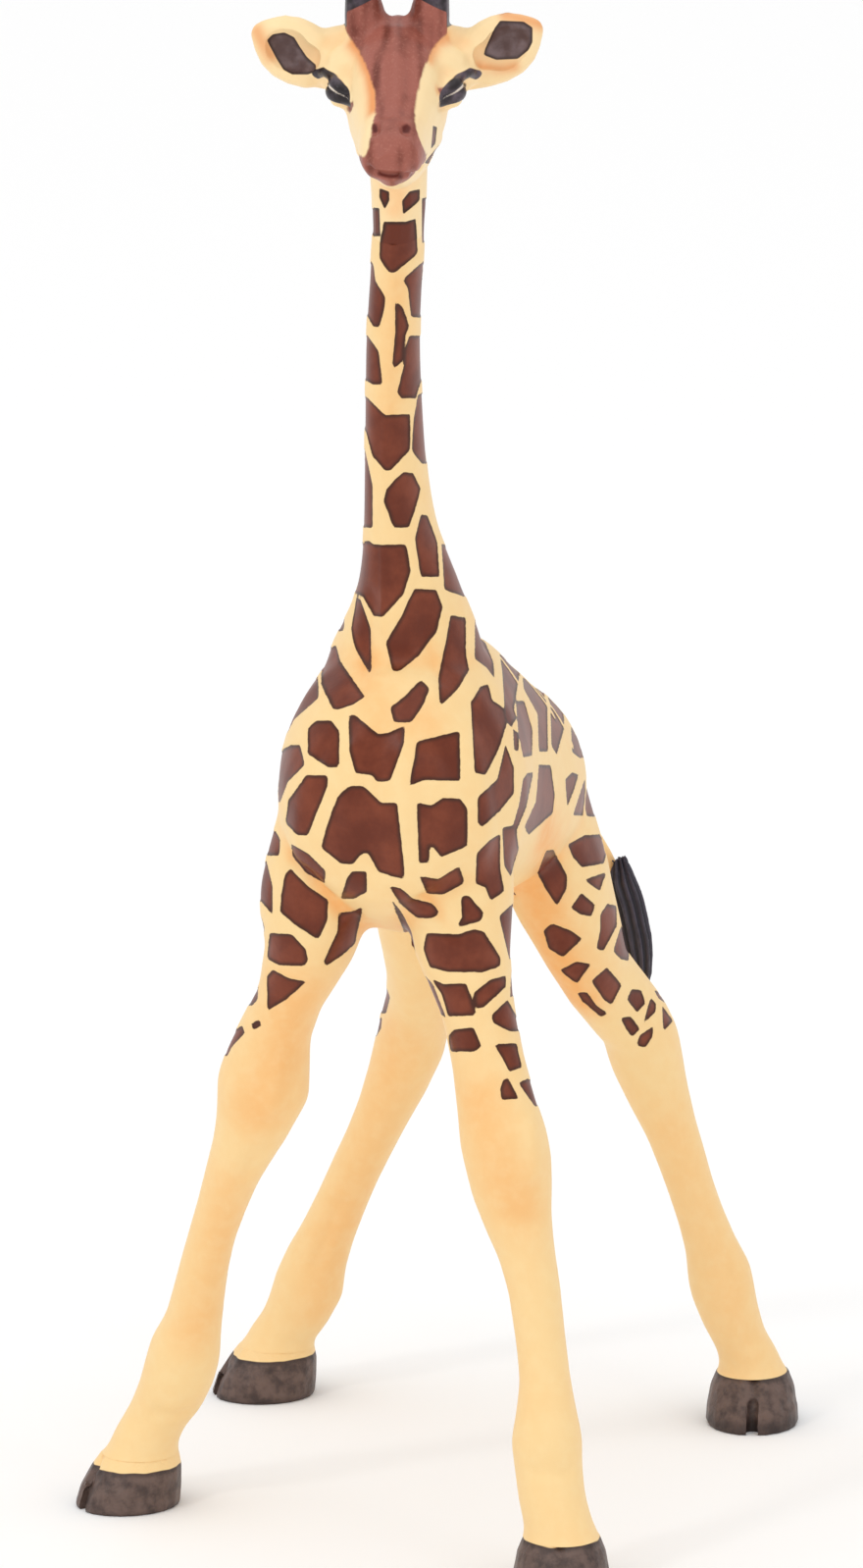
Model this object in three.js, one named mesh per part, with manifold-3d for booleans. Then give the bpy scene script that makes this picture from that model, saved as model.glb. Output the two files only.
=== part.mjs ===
// A toy giraffe calf on splayed legs, in the separate mouldings that are keyed and glued together.
// Millimetres, +Z up. The calf faces -Y, its left side is +X, and its box stands centred on the origin.

import * as THREE from 'three';
import { mergeVertices } from 'three/addons/utils/BufferGeometryUtils.js';
import Module from 'manifold-3d';

const wasm = await Module();
wasm.setup();

// Trunk, from the chest back to the rump.
const trunkLength = 46;
const trunkHalfWidth = 9.4;
const trunkHalfDepth = 11.8;
const shoulderHeight = 59.5;
const rumpDrop = 6.4;
const chestReach = 8;

// Neck, from inside the withers up into the skull, and the mane on its nape.
const neckRise = 44.5;
const neckLean = 11.3;
const neckSway = 1.2;
const neckTopHalfWidth = 2.1;
const neckRootDepth = 7.8;
const neckSetBack = 3;
const maneHalfThickness = 0.6;
const maneProud = 0.9;
const maneBareEnd = 2;

// Head, turned to its own left, and what stands on it.
const headTurnDegrees = 12;
const headReach = 3;
const headRise = 3.9;
const skullBack = 8;
const muzzleReach = 12;
const skullHalfWidth = 3.8;
const skullHalfDepth = 6.3;
const browHalfWidth = 5.1;
const browHalfHeight = 3.3;
const browHalfDepth = 3.8;
const eyeRadius = 1.5;
const earLength = 8;
const earHalfHeight = 2.5;
const earHalfThickness = 1.3;
const earWall = 0.75;
const earDroop = 0.5;
const hornLength = 7.6;
const hornRadius = 1.45;
const hornSpread = 2.3;

// Legs: each hip lies inside the trunk, and each foot is where the leg has slid out to. The hind
// hips and feet are measured from the end of the rump.
const frontHipSpread = 4.2;
const frontHipBack = 1.3;
const hindHipSpread = 3.6;
const hindHipAhead = 8.5;
const hindHipDrop = 5.5;
const frontLegHalfWidth = 3.4;
const hindLegHalfWidth = 3.2;
const frontLeftFoot = { out: 13.9, back: -4.6, toeTurn: 12 };
const frontRightFoot = { out: -22.9, back: 9.6, toeTurn: -45 };
const hindLeftFoot = { out: 18.1, back: 6, toeTurn: 12 };
const hindRightFoot = { out: -20.7, back: 4.3, toeTurn: -60 };

// Hooves.
const hoofHeight = 4;
const hoofHalfWidth = 3.7;
const hoofHalfLength = 4.2;
const toeReach = 1.1;
const cleftWidth = 0.8;
const cleftDepth = 2.6;

// Tail and the tuft at its end, which hangs just behind the left hind leg.
const tailRadius = 1.1;
const tailDrop = 9.6;
const tailSwing = 6.7;
const tuftRadius = 1.35;
const tuftLength = 11.7;
const tuftBehindLeg = 0.4;

// How the mouldings meet: a hairline all round, and a key with the same play in its socket.
const seamGap = 0.3;
const seamBelowBelly = 1.2;
const seamAboveWithers = 1.2;
const seamBelowSkull = 3.4;
const legKey = { width: 3, depth: 2.4, length: 4 };
const neckKey = { width: 3.4, depth: 4.6, length: 5 };
const headKey = { width: 1.5, depth: 2.6, length: 3.4 };
const hoofKey = { width: 2, depth: 2.4, length: 1.6 };
const rootPinRadius = 0.55;
const rootPinLength = 3.2;
const tailRootDepth = 2.4;
const tuftSocketDepth = 1.6;
const cutOverrun = 2;

const vinyl = {
  cream: { color: 0xf3cf8e, roughness: 0.5, metalness: 0 },
  patch: { color: 0x7a4030, roughness: 0.42, metalness: 0 },
  hoof: { color: 0x50413f, roughness: 0.5, metalness: 0 },
  black: { color: 0x2b2830, roughness: 0.4, metalness: 0 },
};

/** A closed three.js geometry as a solid that can be cut and joined. */
function solidOf(geometry) {
  geometry.deleteAttribute('normal');
  geometry.deleteAttribute('uv');
  const merged = mergeVertices(geometry);
  return new wasm.Manifold(
    new wasm.Mesh({
      numProp: 3,
      vertProperties: merged.attributes.position.array,
      triVerts: new Uint32Array(merged.index.array),
    }),
  );
}

/** A solid as a named mesh of its own material. */
function meshOf(name, solid, finish) {
  const { vertProperties, triVerts } = solid.getMesh();
  const geometry = new THREE.BufferGeometry();
  geometry.setAttribute('position', new THREE.BufferAttribute(vertProperties, 3));
  geometry.setIndex(new THREE.BufferAttribute(triVerts, 1));
  geometry.computeVertexNormals();
  const mesh = new THREE.Mesh(geometry, new THREE.MeshStandardMaterial(finish));
  mesh.name = name;
  return mesh;
}

/** A limb: rings square to a smooth path, each with a half width along `across` and a half depth. */
class Limb {
  constructor(stations, { across = new THREE.Vector3(1, 0, 0), keelShare = 0 } = {}) {
    this.path = new THREE.CatmullRomCurve3(stations.map((s) => s.at));
    const girths = stations.map((s) => new THREE.Vector3(s.halfWidth, s.halfDepth, 0));
    this.girth = new THREE.CatmullRomCurve3(girths);
    this.across = across;
    this.keelShare = keelShare;
  }

  /** The length of path for a unit of share, near a share of the way along. */
  strideAt(share) {
    const stepShare = 1e-3;
    const near = THREE.MathUtils.clamp(share, stepShare, 1 - stepShare);
    const [before, after] = [near - stepShare, near + stepShare].map((end) => this.path.getPoint(end));
    return before.distanceTo(after) / (2 * stepShare);
  }

  /** The ring's middle, axes and half sizes, at a share of the way along or straight on past an end. */
  ring(share) {
    const within = THREE.MathUtils.clamp(share, 0, 1);
    const along = this.path.getTangent(within);
    const at = this.path.getPoint(within).addScaledVector(along, (share - within) * this.strideAt(within));
    const depth = new THREE.Vector3().crossVectors(along, this.across).normalize();
    const width = new THREE.Vector3().crossVectors(depth, along);
    const girth = this.girth.getPoint(within);
    return { at, along, width, depth, halfWidth: girth.x, halfDepth: girth.y };
  }

  /** The share of the way along at which the path reaches a value of x, y or z. */
  shareAt(axis, value) {
    const rising = this.path.getPoint(1)[axis] > this.path.getPoint(0)[axis];
    let low = 0;
    let high = 1;
    for (let halving = 0; halving < 40; halving++) {
      const middle = (low + high) / 2;
      if (this.path.getPoint(middle)[axis] < value === rising) low = middle;
      else high = middle;
    }
    return low;
  }

  /** The share that lies a distance further along than another. */
  shareAfter(share, distance) {
    return share + distance / this.strideAt(share);
  }

  /** The closed skin between two shares, fatter all round by `grow`. */
  skin({ from = 0, to = 1, grow = 0, around = 16, rings = 18 } = {}) {
    const geometry = new THREE.CylinderGeometry(1, 1, 1, around, rings);
    const place = geometry.attributes.position;
    for (let i = 0; i < place.count; i++) {
      const ring = this.ring(THREE.MathUtils.lerp(from, to, 0.5 - place.getY(i)));
      const keel = 1 + this.keelShare * place.getZ(i);
      const point = ring.at
        .addScaledVector(ring.width, place.getX(i) * (ring.halfWidth * keel + grow))
        .addScaledVector(ring.depth, place.getZ(i) * (ring.halfDepth + grow));
      place.setXYZ(i, point.x, point.y, point.z);
    }
    return solidOf(geometry);
  }
}

/** A box key that stands back from a ring, and runs on past it into its own moulding. */
function keyAt(ring, key, grow = 0) {
  const length = key.length + grow;
  const geometry = new THREE.BoxGeometry(key.width + 2 * grow, length + cutOverrun, key.depth + 2 * grow);
  geometry.translate(0, (length - cutOverrun) / 2, 0);
  geometry.applyMatrix4(
    new THREE.Matrix4().makeBasis(ring.width, ring.along.clone().negate(), ring.depth).setPosition(ring.at),
  );
  return solidOf(geometry);
}

/** A round pin from a point along a direction. */
function pinAt(from, direction, grow = 0) {
  const radius = rootPinRadius + grow;
  const geometry = new THREE.CylinderGeometry(radius, radius, rootPinLength + grow, 10);
  const upright = new THREE.Vector3(0, 1, 0);
  geometry.translate(0, (rootPinLength - grow) / 2, 0);
  geometry.applyQuaternion(new THREE.Quaternion().setFromUnitVectors(upright, direction));
  geometry.translate(from.x, from.y, from.z);
  return solidOf(geometry);
}

const shoulderShare = 0.228;

/** Trunk stations: how far along, how far the middle has dropped, half width, half depth. */
const trunkShares = [
  [0, 0.23, 0.1, 0.1],
  [0.01, 0.22, 0.36, 0.32],
  [0.04, 0.19, 0.68, 0.57],
  [0.109, 0.1, 0.89, 0.81],
  [shoulderShare, 0, 1, 1],
  [0.37, 0.07, 0.905, 0.975],
  [0.543, 0.39, 0.88, 0.87],
  [0.717, 0.7, 0.88, 0.745],
  [0.848, 0.86, 0.8, 0.68],
  [0.957, 0.95, 0.54, 0.49],
  [1, 1, 0.19, 0.17],
];

const trunk = new Limb(
  trunkShares.map(([along, drop, width, depth]) => ({
    at: new THREE.Vector3(0, along * trunkLength - chestReach, shoulderHeight - drop * rumpDrop),
    halfWidth: width * trunkHalfWidth,
    halfDepth: depth * trunkHalfDepth,
  })),
  { keelShare: 0.05 },
);
const trunkMesh = { around: 28, rings: 22 };

/** The height of the trunk's underside or top at a place along it. */
function trunkEdge(y, side) {
  const ring = trunk.ring(trunk.shareAt('y', y));
  return ring.at.z + side * ring.halfDepth;
}

/** Neck stations: how far up, how far forward and how far aside, half width, half depth. */
const neckShares = [
  [0, 0, -0.5, 3.3, 3.7],
  [0.09, 0.075, -0.3, 3, 3.45],
  [0.17, 0.16, 0, 2.4, 2.9],
  [0.25, 0.25, 0.08, 1.76, 2.35],
  [0.34, 0.34, -0.1, 1.29, 1.9],
  [0.44, 0.45, -0.1, 1.1, 1.66],
  [0.56, 0.57, 0.06, 1, 1.5],
  [0.69, 0.7, 0.34, 0.94, 1.4],
  [0.81, 0.81, 0.84, 0.92, 1.36],
  [0.91, 0.91, 1.22, 0.93, 1.36],
  [1, 1, 1.38, 1, 1.45],
];

const neckRoot = new THREE.Vector3(
  0,
  shoulderShare * trunkLength - chestReach + neckSetBack,
  shoulderHeight + trunkHalfDepth - neckRootDepth,
);
const neck = new Limb(
  neckShares.map(([rise, lean, sway, width, depth]) => ({
    at: new THREE.Vector3(sway * neckSway, -lean * neckLean, rise * neckRise).add(neckRoot),
    halfWidth: width * neckTopHalfWidth,
    halfDepth: depth * neckTopHalfWidth,
  })),
);

/** Leg stations: how far down, how far out and how far back towards the foot, half width, half depth. */
const frontLeftShares = [
  [0, 0, 0, 1.25, 1.6],
  [0.143, 0.04, 0.16, 1.26, 1.38],
  [0.229, 0.125, 0.25, 1.02, 1.15],
  [0.313, 0.255, 0.33, 0.79, 0.92],
  [0.393, 0.36, 0.44, 0.82, 0.86],
  [0.454, 0.455, 0.56, 0.97, 0.95],
  [0.5, 0.51, 0.56, 0.97, 0.89],
  [0.554, 0.545, 0.51, 0.86, 0.8],
  [0.607, 0.62, 0.49, 0.66, 0.69],
  [0.67, 0.71, 0.54, 0.58, 0.62],
  [0.763, 0.79, 0.62, 0.55, 0.6],
  [0.813, 0.83, 0.7, 0.59, 0.65],
  [0.868, 0.845, 0.77, 0.79, 0.83],
  [0.916, 0.875, 0.84, 0.75, 0.78],
  [0.965, 0.93, 0.94, 0.74, 0.8],
  [1, 1, 1, 0.78, 0.88],
];

const frontRightShares = [
  [0, 0, 0, 1.25, 1.6],
  [0.154, 0.115, -0.055, 1.29, 1.34],
  [0.229, 0.155, 0, 1.02, 1.15],
  [0.316, 0.262, 0.11, 0.73, 0.92],
  [0.373, 0.335, 0.167, 0.88, 0.88],
  [0.43, 0.37, 0.22, 1.06, 0.97],
  [0.504, 0.44, 0.28, 0.79, 0.8],
  [0.548, 0.499, 0.33, 0.65, 0.7],
  [0.609, 0.571, 0.44, 0.56, 0.62],
  [0.67, 0.639, 0.56, 0.53, 0.59],
  [0.73, 0.692, 0.67, 0.57, 0.61],
  [0.791, 0.737, 0.78, 0.64, 0.66],
  [0.854, 0.8, 0.89, 0.83, 0.84],
  [0.895, 0.84, 0.94, 0.81, 0.85],
  [0.941, 0.918, 1, 0.68, 0.74],
  [1, 1, 1, 0.76, 0.88],
];

const hindLeftShares = [
  [0, 0, 0, 1.1, 2],
  [0.08, 0.04, 0.08, 1.16, 2],
  [0.16, 0.095, 0.16, 1.22, 1.85],
  [0.26, 0.2, 0.27, 0.96, 1.55],
  [0.34, 0.285, 0.4, 0.77, 1.2],
  [0.4, 0.392, 0.6, 0.82, 1.05],
  [0.45, 0.438, 0.7, 0.91, 1.05],
  [0.5, 0.475, 0.735, 0.86, 0.95],
  [0.58, 0.572, 0.76, 0.65, 0.78],
  [0.644, 0.645, 0.78, 0.6, 0.69],
  [0.708, 0.709, 0.81, 0.565, 0.66],
  [0.774, 0.778, 0.85, 0.61, 0.69],
  [0.84, 0.838, 0.89, 0.8, 0.86],
  [0.88, 0.868, 0.9, 0.78, 0.85],
  [0.938, 0.935, 0.94, 0.64, 0.72],
  [1, 1, 1, 0.78, 0.88],
];

const hindRightShares = [
  [0, 0, 0, 1.1, 2],
  [0.08, 0.06, 0.09, 1.3, 2],
  [0.16, 0.12, 0.2, 1.25, 1.8],
  [0.24, 0.165, 0.31, 1.1, 1.5],
  [0.29, 0.18, 0.39, 0.95, 1.3],
  [0.36, 0.21, 0.55, 0.84, 1.1],
  [0.43, 0.275, 0.73, 0.88, 1],
  [0.49, 0.325, 0.8, 0.88, 0.95],
  [0.57, 0.42, 0.83, 0.71, 0.8],
  [0.64, 0.515, 0.86, 0.64, 0.72],
  [0.708, 0.613, 0.9, 0.63, 0.7],
  [0.78, 0.705, 0.93, 0.65, 0.7],
  [0.848, 0.795, 0.96, 0.78, 0.78],
  [0.908, 0.85, 0.98, 0.9, 0.88],
  [0.955, 0.92, 0.99, 0.75, 0.78],
  [1, 1, 1, 0.79, 0.88],
];

/** A leg's limb from its hip to the top of its hoof. */
function legLimb(shares, hip, foot, girth) {
  const reach = new THREE.Vector3(foot.out, foot.back, hoofHeight).sub(hip);
  return new Limb(
    shares.map(([down, out, back, width, depth]) => ({
      at: new THREE.Vector3(out, back, down).multiply(reach).add(hip),
      halfWidth: width * girth,
      halfDepth: depth * girth,
    })),
  );
}

function frontLeg(name, side, foot, shares) {
  const hip = new THREE.Vector3(side * frontHipSpread, frontHipBack, shoulderHeight);
  return { name, hip, foot, limb: legLimb(shares, hip, foot, frontLegHalfWidth) };
}

const rumpEnd = trunkLength - chestReach;

function hindLeg(name, side, behind, shares) {
  const hip = new THREE.Vector3(side * hindHipSpread, rumpEnd - hindHipAhead, shoulderHeight - hindHipDrop);
  const foot = { ...behind, back: rumpEnd + behind.back };
  return { name, hip, foot, limb: legLimb(shares, hip, foot, hindLegHalfWidth) };
}

const legs = [
  frontLeg('front_left', 1, frontLeftFoot, frontLeftShares),
  frontLeg('front_right', -1, frontRightFoot, frontRightShares),
  hindLeg('hind_left', 1, hindLeftFoot, hindLeftShares),
  hindLeg('hind_right', -1, hindRightFoot, hindRightShares),
];

/** Hoof levels, top to sole: how far down, half width, half length, how far the toe has come forward. */
const hoofShares = [
  [0, 0.79, 0.74, 0],
  [0.25, 0.9, 0.85, 0.3],
  [0.62, 0.98, 0.96, 0.75],
  [0.93, 1, 1, 1],
  [1, 0.96, 0.97, 1],
];

/** A cloven hoof whose level rings widen down to a flat sole. */
function hoofSolid(foot) {
  const last = hoofShares.length - 1;
  const geometry = new THREE.CylinderGeometry(1, 1, 1, 20, last);
  const place = geometry.attributes.position;
  for (let i = 0; i < place.count; i++) {
    const [down, width, length, reach] = hoofShares[Math.round((0.5 - place.getY(i)) * last)];
    const toe = -place.getZ(i) * length * hoofHalfLength - reach * toeReach;
    place.setXYZ(i, place.getX(i) * width * hoofHalfWidth, toe, (1 - down) * hoofHeight);
  }
  const cleft = new THREE.BoxGeometry(cleftWidth, cleftDepth, hoofHeight + 2 * cutOverrun);
  cleft.translate(0, -hoofHalfLength - toeReach, hoofHeight / 2);
  return solidOf(geometry)
    .subtract(solidOf(cleft))
    .rotate([0, 0, foot.toeTurn])
    .translate([foot.out, foot.back, 0]);
}

/** A leg and its hoof, parted from the trunk at one end and from each other at a level seam. */
function buildLeg({ name, foot, limb }, seamShare) {
  const start = limb.shareAfter(seamShare, seamGap);
  const upright = new THREE.Vector3(0, 0, 1);
  const level = {
    at: new THREE.Vector3(foot.out, foot.back, hoofHeight + seamGap),
    along: upright,
    width: new THREE.Vector3(1, 0, 0),
    depth: new THREE.Vector3(0, 1, 0),
  };
  const floor = new THREE.BoxGeometry(4 * hoofHalfLength, 4 * hoofHalfLength, hoofHeight + seamGap);
  floor.translate(foot.out, foot.back, (hoofHeight + seamGap) / 2);
  const leg = limb
    .skin({ from: start, to: limb.shareAfter(1, hoofHeight / 2) })
    .subtract(solidOf(floor))
    .add(keyAt(limb.ring(start), { ...legKey, length: legKey.length - seamGap }))
    .add(keyAt(level, hoofKey));
  const hoof = hoofSolid(foot).subtract(keyAt(level, hoofKey, seamGap));
  return [meshOf(`${name}_leg`, leg, vinyl.cream), meshOf(`${name}_hoof`, hoof, vinyl.hoof)];
}

/** Tail stations, from inside the rump to the tip: how far aside, back and down, radius. */
const tailShares = [
  [0, 0, 0, 1.1],
  [0.03, 0.4, 0.02, 1.1],
  [0.2, 0.8, 0.19, 0.95],
  [0.5, 0.98, 0.49, 0.8],
  [0.8, 1.01, 0.77, 0.62],
  [1, 1, 1, 0.5],
];

const tailRoot = new THREE.Vector3(0, rumpEnd - tailRootDepth, shoulderHeight - rumpDrop);

/** How far back the left hind leg reaches beside the tuft. */
function legBehindTuft() {
  const { limb } = legs.find(({ name }) => name === 'hind_left');
  const tuftTop = tailRoot.z - tailDrop + tuftSocketDepth;
  const backs = [0.5, 0.75, 1].map((down) => {
    const ring = limb.ring(limb.shareAt('z', tuftTop - down * tuftLength));
    return ring.at.y + ring.halfDepth / Math.abs(ring.depth.y);
  });
  return Math.max(...backs);
}

const tailStand = legBehindTuft() + tuftBehindLeg + tuftRadius - tailRoot.y;
const tail = new Limb(
  tailShares.map(([swing, back, down, radius]) => ({
    at: new THREE.Vector3(swing * tailSwing, back * tailStand, -down * tailDrop).add(tailRoot),
    halfWidth: radius * tailRadius,
    halfDepth: radius * tailRadius,
  })),
);
const tailMesh = { around: 10, rings: 12 };

/** Tuft stations: how far down, how far aside, radius. */
const tuftShares = [
  [0, 0, 0.7],
  [0.1, 0.02, 0.92],
  [0.3, 0.08, 1],
  [0.55, 0.14, 0.97],
  [0.8, 0.16, 0.78],
  [0.95, 0.14, 0.45],
  [1, 0.13, 0.15],
];

/** The tail, plugged into the rump, and the tuft round its tip. */
function buildTail() {
  const tip = tail.path.getPoint(1);
  const tuft = new Limb(
    tuftShares.map(([down, out, radius]) => ({
      at: new THREE.Vector3(out * tuftLength, 0, tuftSocketDepth - down * tuftLength).add(tip),
      halfWidth: radius * tuftRadius,
      halfDepth: radius * tuftRadius,
    })),
  );
  const socket = tail.skin({ ...tailMesh, to: tail.shareAfter(1, seamGap), grow: seamGap });
  return [
    meshOf('tail', tail.skin(tailMesh), vinyl.cream),
    meshOf('tail_tuft', tuft.skin({ around: 12, rings: 12 }).subtract(socket), vinyl.black),
  ];
}

const headTurn = THREE.MathUtils.degToRad(headTurnDegrees);
const headForward = new THREE.Vector3(Math.sin(headTurn), -Math.cos(headTurn), 0);
const headLeft = new THREE.Vector3(Math.cos(headTurn), Math.sin(headTurn), 0);
const headUp = new THREE.Vector3(0, 0, 1);

/** A point of the head: how far forward, left and up from the middle of the brow. */
function headPoint(forward, left, up) {
  return neck.path
    .getPoint(1)
    .addScaledVector(headForward, headReach + forward)
    .addScaledVector(headLeft, left)
    .addScaledVector(headUp, headRise + up);
}

/** Skull stations, nape to lips: how far along, how far the middle has dropped, half width, half depth. */
const skullShares = [
  [0, -0.06, 0.33, 0.3],
  [0.05, -0.06, 0.64, 0.57],
  [0.15, -0.05, 0.9, 0.86],
  [0.3, -0.03, 1, 1],
  [0.45, 0.06, 0.95, 0.93],
  [0.6, 0.2, 0.79, 0.74],
  [0.75, 0.33, 0.65, 0.55],
  [0.87, 0.4, 0.61, 0.47],
  [0.95, 0.45, 0.53, 0.37],
  [1, 0.48, 0.3, 0.2],
];

const skull = new Limb(
  skullShares.map(([along, drop, width, depth]) => ({
    at: headPoint(along * (skullBack + muzzleReach) - skullBack, 0, -drop * skullHalfDepth),
    halfWidth: width * skullHalfWidth,
    halfDepth: depth * skullHalfDepth,
  })),
  { across: headLeft, keelShare: 0.18 },
);
const skullMesh = { around: 24, rings: 18 };

/** Brow stations, side to side: how far out, half height, half depth. */
const browShares = [
  [-1, 0.3, 0.25],
  [-0.93, 0.5, 0.45],
  [-0.6, 0.8, 0.75],
  [0, 1, 1],
  [0.6, 0.8, 0.75],
  [0.93, 0.5, 0.45],
  [1, 0.3, 0.25],
];
const browRiseShare = 0.4;
const browBackShare = 0.3;
const browArchShare = 0.1;

const brow = new Limb(
  browShares.map(([out, height, depth]) => ({
    at: headPoint(
      -browBackShare * browHalfDepth,
      out * browHalfWidth,
      browRiseShare * skullHalfDepth - browArchShare * out ** 2 * browHalfHeight,
    ),
    halfWidth: height * browHalfHeight,
    halfDepth: depth * browHalfDepth,
  })),
  { across: headUp },
);
const browMesh = { around: 16, rings: 12 };

/** Ear stations, root to tip: how far out, half height, half thickness, how far the middle has risen. */
const earShares = [
  [0, 0.46, 0.7, -0.1],
  [0.2, 0.6, 0.85, -0.1],
  [0.4, 0.92, 1, -0.12],
  [0.6, 1, 0.95, -0.06],
  [0.8, 0.82, 0.7, 0.06],
  [0.94, 0.42, 0.42, 0.14],
  [1, 0.14, 0.2, 0.16],
];
const earBackShare = 0.5;
const earRootShare = 0.58;
const earRiseShare = 0.36;
const earSweepShare = 0.12;
const earBowlStartShare = 0.4;

/** A cupped ear, open to the front, on a pin that goes into the side of the brow. */
function buildEar(side) {
  const droop = side < 0 ? earDroop : 0;
  const root = headPoint(
    -earBackShare * browHalfDepth,
    side * earRootShare * browHalfWidth,
    browRiseShare * skullHalfDepth,
  );
  const out = headLeft
    .clone()
    .multiplyScalar(side)
    .addScaledVector(headForward, -earSweepShare)
    .addScaledVector(headUp, earRiseShare - droop / earLength)
    .normalize();
  const leaf = (start, inset, forward) =>
    new Limb(
      earShares.map(([along, height, thickness, rise]) => ({
        at: root
          .clone()
          .addScaledVector(out, THREE.MathUtils.lerp(start, 1, along) * (earLength - inset))
          .addScaledVector(headUp, rise * earHalfHeight)
          .addScaledVector(headForward, forward),
        halfWidth: height * (earHalfHeight - inset),
        halfDepth: thickness * earHalfThickness,
      })),
      { across: headUp },
    ).skin({ around: 12, rings: 9 });
  const cup = leaf(0, 0, 0).subtract(leaf(earBowlStartShare, earWall, earHalfThickness));
  return { shell: cup, pin: (grow) => pinAt(root, out, grow) };
}

/** Horn stations, base to knob: how far up, radius. */
const hornShares = [
  [0, 1.05],
  [0.3, 1.02],
  [0.6, 0.9],
  [0.8, 0.88],
  [0.94, 0.7],
  [1, 0.3],
];
const hornRootShare = 0.5;
const hornBackShare = 0.2;
const hornLeanShare = 0.1;
const hornFlareShare = 0.04;

/** A knobbed horn, on a pin that goes down into the top of the skull. */
function buildHorn(side) {
  const base = headPoint(-hornBackShare * browHalfDepth, side * hornSpread, hornRootShare * skullHalfDepth);
  const up = headUp
    .clone()
    .addScaledVector(headForward, -hornLeanShare)
    .addScaledVector(headLeft, side * hornFlareShare)
    .normalize();
  const horn = new Limb(
    hornShares.map(([along, radius]) => ({
      at: base.clone().addScaledVector(up, along * hornLength),
      halfWidth: radius * hornRadius,
      halfDepth: radius * hornRadius,
    })),
    { across: headLeft },
  );
  return { shell: horn.skin({ around: 12, rings: 7 }), pin: (grow) => pinAt(base, up, grow) };
}

/** Eyes: how far forward, out and up from the middle of the brow, and how flat. */
const eyePlaceShares = { forward: 0.3, out: 0.75, up: 0.2 };
const eyeFlatShares = { out: 0.85, up: 0.85 };

/** An eyeball that stands out of the side of the skull. */
function eyeSolid(side) {
  const eye = new THREE.SphereGeometry(eyeRadius, 12, 8);
  eye.scale(eyeFlatShares.out, 1, eyeFlatShares.up);
  eye.rotateZ(headTurn);
  const place = headPoint(
    eyePlaceShares.forward * browHalfDepth,
    side * eyePlaceShares.out * browHalfWidth,
    eyePlaceShares.up * skullHalfDepth,
  );
  eye.translate(place.x, place.y, place.z);
  return solidOf(eye);
}

/** The head on its stub of neck, and the ears and horns that are pinned to it. */
function buildHead(seamShare) {
  const start = neck.shareAfter(seamShare, seamGap);
  let head = skull
    .skin(skullMesh)
    .add(brow.skin(browMesh))
    .add(neck.skin({ from: start, rings: 4 }))
    .add(eyeSolid(1))
    .add(eyeSolid(-1))
    .add(keyAt(neck.ring(start), { ...headKey, length: headKey.length - seamGap }));
  const clearance = skull
    .skin({ ...skullMesh, grow: seamGap })
    .add(brow.skin({ ...browMesh, grow: seamGap }));
  const pinned = [
    ['left_ear', buildEar(1), vinyl.cream],
    ['right_ear', buildEar(-1), vinyl.cream],
    ['left_horn', buildHorn(1), vinyl.patch],
    ['right_horn', buildHorn(-1), vinyl.patch],
  ];
  const meshes = pinned.map(([name, { shell, pin }, finish]) => {
    head = head.subtract(pin(seamGap));
    return meshOf(name, shell.subtract(clearance).add(pin(0)), finish);
  });
  return [meshOf('head', head, vinyl.cream), ...meshes];
}

/** Mane stations: how far up the nape, and how full. */
const maneShares = [
  [0, 0.25],
  [0.08, 0.75],
  [0.25, 1],
  [0.5, 1],
  [0.75, 1],
  [0.92, 0.8],
  [1, 0.3],
];

/** The neck, keyed into the trunk and the head, with the mane set in a groove in its nape. */
function buildNeck(lowShare, highShare) {
  const start = neck.shareAfter(lowShare, seamGap);
  const first = neck.shareAfter(start, maneBareEnd);
  const last = neck.shareAfter(highShare, -maneBareEnd);
  const mane = new Limb(
    maneShares.map(([along, full]) => {
      const ring = neck.ring(THREE.MathUtils.lerp(first, last, along));
      return {
        at: ring.at.addScaledVector(ring.depth, ring.halfDepth),
        halfWidth: full * maneHalfThickness,
        halfDepth: full * maneProud,
      };
    }),
  );
  const maneMesh = { around: 10, rings: 14 };
  const grooveEnds = { from: mane.shareAfter(0, -seamGap), to: mane.shareAfter(1, seamGap) };
  const solid = neck
    .skin({ from: start, to: highShare, around: 20 })
    .add(keyAt(neck.ring(start), { ...neckKey, length: neckKey.length - seamGap }))
    .subtract(keyAt(neck.ring(highShare), headKey, seamGap))
    .subtract(mane.skin({ ...maneMesh, ...grooveEnds, grow: seamGap }));
  return [meshOf('neck', solid, vinyl.cream), meshOf('mane', mane.skin(maneMesh), vinyl.patch)];
}

/** The trunk with a stub and a socket for the neck and for each leg, and a socket for the tail. */
function buildTrunk(neckSeamShare, legSeamShares) {
  let solid = trunk.skin(trunkMesh).add(neck.skin({ to: neckSeamShare, around: 20, rings: 5 }));
  legs.forEach(({ limb }, i) => {
    solid = solid.add(limb.skin({ to: legSeamShares[i], rings: 6 }));
  });
  legs.forEach(({ limb }, i) => {
    solid = solid.subtract(keyAt(limb.ring(legSeamShares[i]), legKey, seamGap));
  });
  solid = solid
    .subtract(keyAt(neck.ring(neckSeamShare), neckKey, seamGap))
    .subtract(tail.skin({ ...tailMesh, from: tail.shareAfter(0, -seamGap), grow: seamGap }));
  return meshOf('trunk', solid, vinyl.patch);
}

const neckSeamShare = neck.shareAt('z', trunkEdge(neckRoot.y, 1) + seamAboveWithers);
const headSeamShare = neck.shareAt('z', headPoint(0, 0, 0).z - skullHalfDepth - seamBelowSkull);
const legSeamShares = legs.map(({ hip, limb }) => limb.shareAt('z', trunkEdge(hip.y, -1) - seamBelowBelly));

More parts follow.
